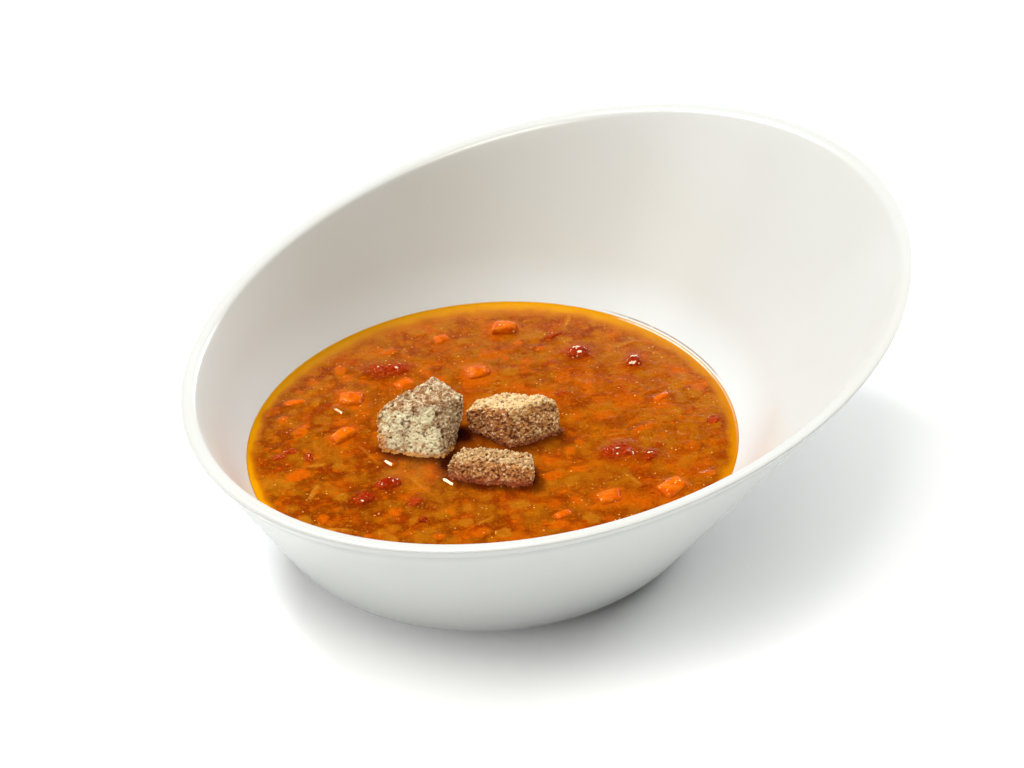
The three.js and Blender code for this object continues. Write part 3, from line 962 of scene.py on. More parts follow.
def heel_rows(radius, height, wall_height, insets):
    """The curve from a level ring to the wall, rounded where their lines meet."""
    rows = []
    for step in range(CURVE_STEPS + 1):
        t = step / CURVE_STEPS
        ring = (1 - t) ** 2
        wall = 1 - ring
        mean = (2 * t * (1 - t) * height + t * t * wall_height) / wall if wall else wall_height
        rows.append(section_row(level=ring, radius=radius, height=height, wall_height=mean, insets=insets))
    return rows


def bowl_section(bowl):
    """Rows from the middle underneath, out over the foot, up round the rim and down to the floor."""
    bead = bowl.bead
    width = bowl.wall_at_rim
    recess = RECESS_MM * MM
    bevel_start = RECESS_RADIUS_MM * MM
    bevel_end = (RECESS_RADIUS_MM + RECESS_BEVEL_MM) * MM
    under = [
        section_row(level=1, radius=radius, height=height)
        for radius, height in [
            (0, recess),
            (bevel_start * 0.5, recess),
            (bevel_start - 0.0006, recess),
            (bevel_start, recess - 0.00004),
            (bevel_start + 0.0006, recess - 0.0004),
            (bevel_end - 0.0004, 0.00022),
            (bevel_end, 0.00003),
            (bevel_end + 0.0005, 0),
            (FOOT_FLAT_MM * MM - 0.0005, 0),
        ]
    ]
    heel = heel_rows(FOOT_FLAT_MM * MM, 0, HEEL_HEIGHT_MM * MM, (0, 0))
    outline = rounded(
        [
            (0, BEAD_DEPTH_MM * MM + 0.0009),
            (-bead * 0.8, BEAD_DEPTH_MM * MM - 0.0003),
            (-bead, BEAD_DEPTH_MM * MM - 0.0014),
            (-bead, 0.0016),
            (-bead * 0.4, 0.00055),
            (width * 0.22, 0.00005),
            (width * 0.5, 0),
            (width * 0.78, 0.00025),
            (width * 0.95, 0.0009),
            (width, 0.002),
        ],
        RIM_STEPS,
    )
    rim = [section_row(drop=drop, near_rim=1, insets=(inset, inset)) for inset, drop in outline]
    floor = heel_rows(
        FLOOR_RADIUS_MM * MM,
        FLOOR_HEIGHT_MM * MM,
        FLOOR_CURVE_HEIGHT_MM * MM,
        (bowl.wall_at_foot, bowl.wall_at_rim),
    )[::-1]
    middle = [
        section_row(level=1, radius=FLOOR_RADIUS_MM * MM * share, height=FLOOR_HEIGHT_MM * MM)
        for share in (0.75, 0.4, 0)
    ]
    outer = rows_between(heel[-1], rim[0], WALL_STEPS)
    inner = rows_between(rim[-1], floor[0], WALL_STEPS)
    return np.array([*under, *heel[:-1], *outer, *rim[:-1], *inner, *floor, *middle])


# The inputs of the bowl's tree, each with the setting that it takes its value from.
BOWL_INPUTS = {
    "Foot radius": "foot_radius",
    "Rim radius": "rim_radius",
    "Rim height": "rim_height",
    "Rim offset": "rim_offset",
    "Rim tilt": "rim_tilt",
    "Rim egg": "rim_egg",
    "Rim bead": "bead",
}

# The columns of a section row, as the vectors that the bowl's tree reads.
SECTION_VECTORS = {"level_ring": (0, 1, 2), "wall": (3, 4, 5), "inset": (6, 7, 7)}


def bowl_tree(material):
    """Turns the rows of the section into the bowl, its rim tilted and off the foot's middle."""
    tree, rows, values = new_geometry_tree(
        "Slanted bowl", {**dict.fromkeys(BOWL_INPUTS, "Float"), "Foot X": "Float", "Segments": "Int"}
    )
    size = add_node(tree, "GeometryNodeAttributeDomainSize", {"Geometry": rows})
    count = Value(tree, size.outputs["Point Count"])
    grid = add_node(
        tree,
        "GeometryNodeMeshGrid",
        {"Vertices X": values["Segments"] + 1, "Vertices Y": count},
    )
    index = Value(tree, tree.nodes.new("GeometryNodeInputIndex").outputs[0])
    turn = (index / count).math("FLOOR")
    row = index - turn * count

    def row_values(name):
        sample = add_node(tree, "GeometryNodeSampleIndex", data_type="FLOAT_VECTOR", domain="POINT")
        plug(tree, rows, sample.inputs["Geometry"])
        plug(tree, named_vector(tree, name), sample.inputs["Value"])
        plug(tree, row, sample.inputs["Index"])
        return split(tree, sample.outputs[0])

    radius, height, level = row_values("level_ring")
    wall_height, drop, near_rim = row_values("wall")
    foot_inset, rim_inset, _ = row_values("inset")
    angle = turn / values["Segments"] * (2 * math.pi)
    cosine = angle.math("COSINE")
    sine = angle.math("SINE")
    egg = (values["Rim egg"] * (angle * 3.0).math("COSINE")).from_one()
    tilt_cosine = values["Rim tilt"].math("COSINE")
    tilt_sine = values["Rim tilt"].math("SINE")

    def rim_at(reach):
        along = reach * egg * cosine
        return [
            values["Rim offset"] + along * tilt_cosine,
            reach * egg * sine,
            values["Rim height"] + along * tilt_sine,
        ]

    def foot_at(reach):
        return [reach * cosine, reach * sine, reach * 0.0]

    rim = rim_at(values["Rim radius"] - rim_inset)
    foot = foot_at(values["Foot radius"] - foot_inset)
    full_rim = rim_at(values["Rim radius"] + values["Rim bead"])
    full_foot = foot_at(values["Foot radius"])
    length = Value(tree, vector_math(tree, "DISTANCE", join(tree, *full_rim), join(tree, *full_foot)))
    low_share = wall_height / rim[2]
    rim_share = (drop / length).from_one()
    share = low_share.towards(rim_share, near_rim)
    wall = [low.towards(high, share) for low, high in zip(foot, rim)]
    ring = [radius * cosine, radius * sine, height]
    x, y, z = [place.towards(flat, level) for place, flat in zip(wall, ring)]
    placed = add_node(
        tree,
        "GeometryNodeSetPosition",
        {"Geometry": grid.outputs["Mesh"], "Position": join(tree, x + values["Foot X"], y, z)},
    )
    closed = add_node(
        tree, "GeometryNodeMergeByDistance", {"Geometry": placed.outputs[0], "Distance": SAME_POINT}
    )
    end_geometry_tree(tree, closed.outputs[0], material)
    return tree


class LENTILSOUP_OT_bowl(bpy.types.Operator):
    """Build the slanted porcelain bowl from its section, tilted rim and foot"""

    bl_idname = "lentil_soup.bowl"
    bl_label = "Bowl"

    def execute(self, context):
        bowl = context.scene.soup_bowl
        rows = bowl_section(bowl)
        mesh = mesh_from("bowl_section", [(row[0], 0, row[1]) for row in rows], [])
        for name, columns in SECTION_VECTORS.items():
            set_attribute(mesh, name, rows[:, columns], "FLOAT_VECTOR")
        made = new_object("bowl_glazed", mesh)
        sizes = {title: getattr(bowl, name) for title, name in BOWL_INPUTS.items()}
        sizes.update({"Foot X": foot_x(bowl), "Segments": bowl.segments})
        add_geometry_nodes(made, bowl_tree(porcelain_material(bowl, context.scene.soup_body)), sizes)
        make_plain(made)
        face_outwards(made)
        stand_for(made, "porcelain", "bowl")
        return {"FINISHED"}


# Height of the crumb's large lumps and of its fine grain, and how far its cells stray.
CRUMB_LUMPS = 0.0028
CRUMB_FINE = 0.0009
CRUMB_STRAY = 0.0009

# Blotches in the toasted colour: size in millimetres, strength and seed.
BLOTCHES = ((2.4, 0.2, 41), (0.9, 0.24, 43))
END_RAGGED_MM = 5.0
END_STRENGTH = 0.8


def crumb_tree(material):
    """Raises crumbs and sinks pits in a smooth block of bread, and marks how deep each point lies."""
    tree, bread, values = new_geometry_tree(
        "Bread crumb", {"Grain": "Float", "Pore": "Float", "Shift": "Float"}
    )
    place = vector_math(tree, "ADD", position_of(tree), alike(tree, values["Shift"]))
    lumps = noise(tree, place, 0.0048, detail=2.0) - 0.5
    field = add_node(tree, "ShaderNodeTexNoise", {"Vector": place, "Scale": 900.0, "Detail": 1.0})
    stray = vector_math(tree, "MULTIPLY", field.outputs["Color"], (CRUMB_STRAY,) * 3)
    bent = vector_math(tree, "ADD", place, stray)
    middle, _ = cells(tree, bent, 0.0008, shift=5.0)
    crumb = middle.ramp(0.66, 0.08)
    fine = noise(tree, place, 0.0006, detail=2.0, roughness=0.65, shift=2.0) - 0.5
    hole, chance = cells(tree, bent, 0.0014, shift=11.0)
    pit = (hole + fine * 0.5).ramp(0.46, 0.16) * chance.ramp(0.25, 0.85)
    height = lumps * CRUMB_LUMPS + (crumb - 0.5) * values["Grain"] + fine * CRUMB_FINE
    height = height - pit * values["Pore"]
    depth = crumb.from_one() * values["Grain"] * 1300.0 - fine * 1.1 + pit * 0.6
    store = {"Geometry": bread, "Name": "pore", "Value": depth}
    marks = add_node(
        tree, "GeometryNodeStoreNamedAttribute", store, data_type="FLOAT", domain="POINT"
    )
    end_geometry_tree(tree, raised(tree, marks.outputs[0], height), material)
    return tree


def toast(mesh, look, level):
    """Paints a crouton: toasted sides and ends, a side painted darker as shade, blotches, and how soaked
    each point is.
    """
    points = mesh_vectors(mesh.vertices, "co")
    normals = mesh_vectors(mesh.vertex_normals, "vector")
    plain = {name: np.tile(look[name], (len(points), 1)) for name in ("crumb", "pit", "soak")}
    colour = plain["crumb"]
    across = (points[:, 0] - points[:, 2] * 0.5) / MM
    along = (points[:, 1] + points[:, 2] * 0.8) / MM
    blotches = sum(lattice_noise(across / size, along / size, seed) * much for size, much, seed in BLOTCHES)
    # Tints by the way each face looks: toast, and painted shade on the left crouton's right side.
    for side, reach, tint in look["tints"]:
        facing = normals @ (np.array(side) / np.linalg.norm(side)) + blotches
        colour = blended(colour, tint, smooth_step(facing, *reach))
    for side, reach, tint in look.get("ends", ()):
        far = points @ np.array(side) / MM
        share = smooth_step(far - far.max() + blotches * END_RAGGED_MM, *reach)
        colour = blended(colour, tint, share * END_STRENGTH)
    soak_height = look["soak_height"] * MM
    set_attribute(mesh, "soaked", smooth_step(level + soak_height - points[:, 2], 0, soak_height))
    for name, tints in {**plain, "crumb": colour}.items():
        set_attribute(mesh, f"{name}_colour", np.insert(tints, 3, 1.0, axis=1), "FLOAT_COLOR")


class LENTILSOUP_OT_croutons(bpy.types.Operator):
    """Build the three croutons with their grain, pores, toasted sides and soaked feet"""

    bl_idname = "lentil_soup.croutons"
    bl_label = "Croutons"

    def execute(self, context):
        food = context.scene.soup_food
        tree = crumb_tree(crouton_material())
        for node, look in CROUTONS.items():
            made = rounded_copy(node, "toasted", 2)
            even = made.modifiers.new("Even faces", "REMESH")
            even.mode = "VOXEL"
            even.voxel_size = food.crumb_detail
            make_plain(made)
            toast(made.data, look, context.scene.soup_body.level)
            sizes = {"Pore": food.crumb_pore, "Shift": look["seed"] * 0.01}
            add_geometry_nodes(made, tree, {"Grain": food.crumb_grain * look["grain"], **sizes})
            make_plain(made)
            stand_for(made, "crouton", node)
        return {"FINISHED"}


def build_wet_pieces(slot, nodes, material, lump, height, fine):
    """Rounds the solids of one kind and roughens them by lumps of one size and finer ones."""
    tree, piece, _ = new_geometry_tree(f"{slot.capitalize()} surface", {})
    place = position_of(tree)
    coarse = noise(tree, place, lump, detail=1.0) - 0.5
    small = noise(tree, place, lump * 0.35, detail=2.0, shift=3.0) - 0.5
    end_geometry_tree(tree, raised(tree, piece, coarse * height + small * fine), material)
    for node in nodes:
        made = rounded_copy(node, "cooked", 3)
        add_geometry_nodes(made, tree, {})
        make_plain(made)
        stand_for(made, slot, node)


class LENTILSOUP_OT_carrots(bpy.types.Operator):
    """Build the larger dice of carrot"""

    bl_idname = "lentil_soup.carrots"
    bl_label = "Carrot dice"

    def execute(self, context):
        material = carrot_material(context.scene.soup_food, context.scene.soup_body)
        build_wet_pieces("carrot", CARROTS, material, lump=0.0026, height=0.0008, fine=0.00034)
        return {"FINISHED"}


class LENTILSOUP_OT_tomatoes(bpy.types.Operator):
    """Build the larger pieces of tomato"""

    bl_idname = "lentil_soup.tomatoes"
    bl_label = "Tomato pieces"

    def execute(self, context):
        material = tomato_material(context.scene.soup_food, context.scene.soup_body)
        build_wet_pieces("tomato", TOMATOES, material, lump=0.0019, height=0.0014, fine=0.0008)
        return {"FINISHED"}


def random_run(seed):
    """A repeatable run of random numbers from 0 to 1, the same as the solids were made with."""
    state = seed
    while True:
        state = (state * 1664525 + 1013904223) % 4294967296
        yield state / 4294967296


def soup_reach(bowl, level, angle):
    """How far the soup's edge is from the foot's middle at an angle."""
    edge = inner_wall_at_height(bowl, np.array([angle]), np.array([level]))[0]
    return math.hypot(edge[0] - foot_x(bowl), edge[1])


def larger_boxes(bowl):
    """Plan boxes of the larger pieces, in millimetres from the foot's middle."""
    boxes = []
    for node in (*CROUTONS, *CARROTS, *TOMATOES):
        low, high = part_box(node)
        shift = foot_x(bowl)
        boxes.append(((low.x - shift) / MM, low.y / MM, (high.x - shift) / MM, high.y / MM))
    return boxes


def clear_of(place, boxes, distance):
    for low_x, low_y, high_x, high_y in boxes:
        away_x = max(low_x - place[0], 0, place[0] - high_x)
        away_y = max(low_y - place[1], 0, place[1] - high_y)
        if math.hypot(away_x, away_y) <= distance:
            return False
    return True


def apart_from(place, bits, distance):
    return all(math.dist(place, bit["at"]) > distance + bit["length"] / 2 for bit in bits)


def solid_bits(bowl, soup):
    """The bits that the soup's solid carries, on their sunflower spiral."""
    run = random_run(SOLID_BIT_SEED)
    boxes = larger_boxes(bowl)
    golden_angle = math.pi * (3 - math.sqrt(5))
    bits = []
    for i in range(SOLID_BITS):
        angle = i * golden_angle + SOLID_BIT_STRAY * next(run)
        edge = soup_reach(bowl, soup.level, angle) / MM
        reach = math.sqrt((i + 0.5) / SOLID_BITS) * (edge - SOLID_BIT_MARGIN_MM)
        kind, (length, width), proud = SOLID_BIT_KINDS[i % len(SOLID_BIT_KINDS)]
        swell = 1 + SOLID_BIT_SWELL * (2 * next(run) - 1)
        turn = math.pi * next(run)
        proud = proud * (1 + SOLID_BIT_PROUD_SWELL * (2 * next(run) - 1)) * SOLID_BIT_PROUD_SHARE
        bit = {
            "kind": kind,
            "at": (reach * math.cos(angle), reach * math.sin(angle)),
            "length": length * swell,
            "width": width * swell,
            "turn": turn,
            "proud": proud,
        }
        clearance = bit["length"] / 2 + SOLID_BIT_CLEARANCE_MM
        if clear_of(bit["at"], boxes, clearance) and apart_from(bit["at"], bits, clearance):
            bits.append(bit)
    return bits


def seen_bits():
    """The bits whose places and kinds are known one by one."""
    names = ("kind", "at", "length", "width", "turn", "proud")
    bits = [dict(zip(names, row)) for row in SEEN_BITS]
    for bit in bits:
        bit["turn"] = math.radians(bit["turn"])
        bit["whole"] = bit["proud"] > WHOLE_FROM_MM and bit["kind"] in WHOLE_LOOKS
    return bits


def random_bits(look, bowl, soup):
    """Bits at random places inside the soup's edge, their kinds in turn."""
    random = np.random.default_rng(look["seed"])
    for i in range(look["count"]):
        angle = 2 * math.pi * random.random()
        edge = soup_reach(bowl, soup.level, angle) / MM - RANDOM_BIT_MARGIN_MM
        reach = math.sqrt(random.random()) * edge
        length = random.uniform(*look["lengths"])
        yield {
            "kind": look["kinds"][i % len(look["kinds"])],
            "at": (reach * math.cos(angle), reach * math.sin(angle)),
            "length": length,
            "width": length * random.uniform(*RANDOM_BIT_WIDTHS),
            "turn": math.pi * random.random(),
            "proud": random.uniform(*look["proud"]),
        }


def all_bits(bowl, soup):
    """Every bit in the order that they are painted in, the deepest first."""
    seen = seen_bits()
    solid = [bit for bit in solid_bits(bowl, soup) if apart_from(bit["at"], seen, 1.0)]
    boxes = larger_boxes(bowl)
    fine = []
    for bit in random_bits(FINE_BITS, bowl, soup):
        free = clear_of(bit["at"], boxes, bit["length"] / 2 + FINE_BIT_CLEARANCE_MM)
        if free and apart_from(bit["at"], [*seen, *solid, *fine], bit["length"] * FINE_BIT_SPACING):
            fine.append(bit)
    return [*random_bits(DEEP_BITS, bowl, soup), *fine, *solid, *seen]


def bit_tree(kind, material):
    """Sets one shape on every point, turned and sized by the point, and makes each one uneven."""
    inputs = {"Unevenness": "Float", "Lump size": "Float"}
    tree, points, values = new_geometry_tree(f"Scattered {kind}", inputs)
    if kind == "carrot":
        shape = rounded_block(tree)
    else:
        shape = add_node(tree, "GeometryNodeMeshIcoSphere", {"Radius": 0.5, "Subdivisions": 4}).outputs[0]
    turn = add_node(tree, "FunctionNodeEulerToRotation", {"Euler": named_vector(tree, "turn")})
    placing = {"Points": points, "Instance": shape, "Scale": named_vector(tree, "size")}
    placed = add_node(tree, "GeometryNodeInstanceOnPoints", {**placing, "Rotation": turn.outputs[0]})
    real = add_node(tree, "GeometryNodeRealizeInstances", {"Geometry": placed.outputs[0]})
    scaled = vector_math(tree, "DIVIDE", position_of(tree), alike(tree, values["Lump size"]))
    field = add_node(tree, "ShaderNodeTexNoise", {"Vector": scaled, "Scale": 1.0, "Detail": 1.0})
    centred = vector_math(tree, "SUBTRACT", field.outputs["Color"], (0.5, 0.5, 0.5))
    offset = vector_math(tree, "MULTIPLY", centred, alike(tree, values["Unevenness"]))
    end_geometry_tree(tree, moved(tree, real.outputs[0], offset), material)
    return tree


def rounded_block(tree):
    """A cube of one unit whose edges and corners are rounded."""
    sides = {f"Vertices {axis}": 4 for axis in "XYZ"}
    block = add_node(tree, "GeometryNodeMeshCube", {"Size": (1.0, 1.0, 1.0), **sides})
    place = position_of(tree)
    powers = [(axis * 2.0).math("ABSOLUTE").math("POWER", 5.0) for axis in split(tree, place)]
    reach = (powers[0] + powers[1] + powers[2]).math("POWER", 0.2)
    shrunk = vector_math(tree, "DIVIDE", place, alike(tree, reach))
    placing = {"Geometry": block.outputs[0], "Position": shrunk}
    return add_node(tree, "GeometryNodeSetPosition", placing).outputs[0]


class LENTILSOUP_OT_bits(bpy.types.Operator):
    """Set the small chips of carrot and shreds of tomato that stand out of the soup"""

    bl_idname = "lentil_soup.bits"
    bl_label = "Small bits"

    def execute(self, context):
        scene = context.scene
        for kind, look in WHOLE_LOOKS.items():
            points = []
            sizes = []
            turns = []
            for bit in seen_bits():
                if bit["whole"] and bit["kind"] == kind:
                    thick = bit["width"] * look["thick"]
                    middle = scene.soup_body.level + (bit["proud"] - thick / 2) * MM
                    x = bit["at"][0] * MM + foot_x(scene.soup_bowl)
                    points.append((x, bit["at"][1] * MM, middle))
                    sizes.append((bit["length"] * MM, bit["width"] * MM, thick * MM))
                    turns.append((0, 0, bit["turn"]))
            mesh = mesh_from(f"{kind}_places", points, [])
            set_attribute(mesh, "size", sizes, "FLOAT_VECTOR")
            set_attribute(mesh, "turn", turns, "FLOAT_VECTOR")
            made = new_object(f"small_{kind}_pieces", mesh)
            inputs = {"Unevenness": look["uneven"], "Lump size": look["lumps"]}
            add_geometry_nodes(made, bit_tree(kind, bit_material(kind)), inputs)
            make_plain(made)
            stand_for(made, kind)
        return {"FINISHED"}


# Smooth ridges of soup that catch the light: middle of the lit flank, its length and its turn.
RIPPLES = [
    ((-27.4, -7.1), 5.0, -50),
    ((-10.9, -17.9), 5.6, -50),
    ((-2.5, 0.9), 5.0, -52),
    ((-41.1, 19.7), 5.2, -51),
]
RIPPLE_OFFSET_MM = 0.9
RIPPLE_WIDTH_MM = 1.3
RIPPLE_HEIGHT_MM = 0.68
RIPPLE_ENDS_MM = 0.9
RIPPLE_CALM_MM = (1.6, 3.2)

# The soup's swells: their size along X and Y, seed and height, in millimetres.
SWELLS = ((6.5, 5.0, 3, 0.07), (2.6, 2.1, 8, 0.06))

# How soup meets the larger pieces: their nodes and the ending of their names, how many millimetres
# it creeps up and over what distance, and the colour that bleeds into it.
MEETINGS = (
    (CROUTONS, "toasted", 0.42, 1.4, None),
    (CARROTS, "cooked", 0.15, 1.4, linear(216, 90, 3)),
    (TOMATOES, "cooked", 0.3, 1.8, linear(156, 38, 2)),
)
MEETING_MARGIN = 0.006
HALO_STRENGTH = 0.85
HALO_MM = (-3.4, 0.4)

# The shade between croutons and at their feet: strengths and reaches.
FOOT_SHADE = 0.72
FOOT_SHADE_MM = 2.0
GAP_SHADE = 0.97
GAP_SHADE_GAIN = 2.4
GAP_SHADE_MM = 4.6

# Bumps in the outlines of the bits: how many to a millimetre, shift of the seed, and height as a
# share of the width.
OUTLINE_BUMPS = ((0.8, 0, 0.26), (2.1, 0.5, 0.12))
BIT_MARGIN_MM = 3.5

# The film of soup over a bit dims it and softens its edge, the more the deeper the bit lies.
FILM_TOP_MM = 0.15
EDGE_SOFTNESS = 0.38
EDGE_SOFTNESS_BY_DEPTH = 0.5
MOST_COVER = 0.95
COVER_FADE = 0.55

# How far the surface is lifted over a bit, and over what distance from its outline.
WHOLE_LIFT_MM = 0.15
LIFT_MM = 0.07
LIFT_BY_PROUD = 0.4
LIFT_SLOPE_MM = (-1.5, 1.0)

# Inside a piece the soup sinks out of sight: from how far in, how steeply, and how deep as a share
# of the piece's own depth.
SINK_FROM_MM = 0.8
SINK_SLOPE = 3.0
SINK_SHARE = 0.85
CALM_NEAR_CROUTONS_MM = (-5.0, -2.4)

# The inner edge of the oil ring: size of its bumps in millimetres, seed and strength, and how much
# wider the ring is at the back.
OIL_BUMPS = ((5.0, 23, 0.7), (1.7, 29, 0.3))
OIL_RAGGED_MM = 1.1
OIL_BACK_GAIN = 1.1
OIL_WIDTH_SHARE = 0.88

# The painted highlight on the edge of the soup, a line of light: the angles over which it grows in
# two steps and fades, and its distance from the edge and half width.
SHINE_STEPS = ((0.35, -16, 18), (0.65, 20, 28))
SHINE_END = (52, 62)
SHINE_FROM_EDGE_MM = 0.34
SHINE_HALF_WIDTH_MM = 0.24

SOUP_RINGS = 138
EDGE_RINGS_MM = (0, 0.16, 0.34, 0.56, 0.82, 1.12, 1.48, 1.9, 2.36)
SKIRT_HEIGHTS_MM = (22.0, 19.5, 17.0)
SKIRT_GAP_MM = 0.35
INTO_WALL_MM = 0.12


def disc_grid(rings):
    """Points of a disc laid out like a square grid: ring number, angle, and the faces between.

    Ring n of the grid is a square of points, and becomes a circle of points at even angles.
    """
    side = np.arange(-rings, rings + 1)
    column, row = np.meshgrid(side, side, indexing="ij")
    ring = np.maximum(np.abs(column), np.abs(row))
    safe = np.maximum(ring, 1)
    across = np.abs(column) >= np.abs(row)
    angle = np.where(
        across,
        np.where(column >= 0, 0.0, math.pi) + (math.pi / 4) * row / safe * np.sign(column),
        np.where(row >= 0, math.pi / 2, -math.pi / 2) - (math.pi / 4) * column / safe * np.sign(row),
    )
    width = 2 * rings + 1
    index = np.arange(width * width).reshape(width, width)
    faces = np.stack([index[:-1, :-1], index[1:, :-1], index[1:, 1:], index[:-1, 1:]], axis=-1)
    border = np.concatenate([index[-1, :-1], index[::-1, -1][:-1], index[0, ::-1][:-1], index[:, 0][:-1]])
    return ring.ravel(), angle.ravel(), faces.reshape(-1, 4), border


def ring_depths(rings, reach):
    """How far each ring is from the edge, finer close to it, from the outermost ring inwards."""
    edge = list(EDGE_RINGS_MM)
    rest = np.linspace(edge[-1], reach, rings + 2 - len(edge))[1:]
    return np.array([*edge, *rest])[: rings + 1] / reach


def distances_to(made, points):
    """Distance of points to a piece's surface, negative inside it."""
    tree = BVHTree.FromObject(made, bpy.context.evaluated_depsgraph_get())
    middle = Vector(mesh_vectors(made.data.vertices, "co").mean(axis=0))
    far = np.empty(len(points))
    for i, point in enumerate(points):
        place, normal, _, distance = tree.find_nearest(Vector(point))
        away = Vector(point) - place
        far[i] = -distance if away.dot(normal) < 0 and away.dot(place - middle) < 0 else distance
    return far


def paint_bits(x, y, bits):
    """Colour and cover of the small things seen through the soup, for points in millimetres.

    It also says how far the surface is lifted over them.
    """
    colour = np.zeros((len(x), 3))
    cover = np.zeros(len(x))
    lift = np.zeros(len(x))
    for order, bit in enumerate(bits):
        look = BIT_LOOKS[bit["kind"]]
        reach = bit["length"] / 2 + BIT_MARGIN_MM
        near = np.flatnonzero((np.abs(x - bit["at"][0]) < reach) & (np.abs(y - bit["at"][1]) < reach))
        if not len(near):
            continue
        dx = x[near] - bit["at"][0]
        dy = y[near] - bit["at"][1]
        along = (dx * math.cos(bit["turn"]) + dy * math.sin(bit["turn"])) / (bit["length"] / 2)
        beside = (-dx * math.sin(bit["turn"]) + dy * math.cos(bit["turn"])) / (bit["width"] / 2)
        square = look["square"]
        radius = (np.abs(along) ** square + np.abs(beside) ** square) ** (1 / square)
        stray = sum(
            lattice_noise(x[near] * bumps, y[near] * bumps, order + shift) * height
            for bumps, shift, height in OUTLINE_BUMPS
        )
        outside = (radius + stray - 1) * bit["width"] / 2
        depth = max(0.0, FILM_TOP_MM - bit["proud"])
        soft = look["soft"] * (EDGE_SOFTNESS + EDGE_SOFTNESS_BY_DEPTH * depth)
        amount = smooth_step(-outside, -soft, soft) * MOST_COVER * math.exp(-COVER_FADE * depth)
        held = cover[near] * (1 - amount)
        total = held + amount
        mixed = colour[near] * held[:, None] + np.array(look["colour"]) * amount[:, None]
        colour[near] = mixed / np.maximum(total, 1e-6)[:, None]
        cover[near] = total
        rise = max(0.0, LIFT_MM + bit["proud"] * LIFT_BY_PROUD) * look["lift"]
        if bit.get("whole"):
            rise = WHOLE_LIFT_MM
        lift[near] = np.maximum(lift[near], rise * smooth_step(-outside, *LIFT_SLOPE_MM))
    return colour, cover, lift


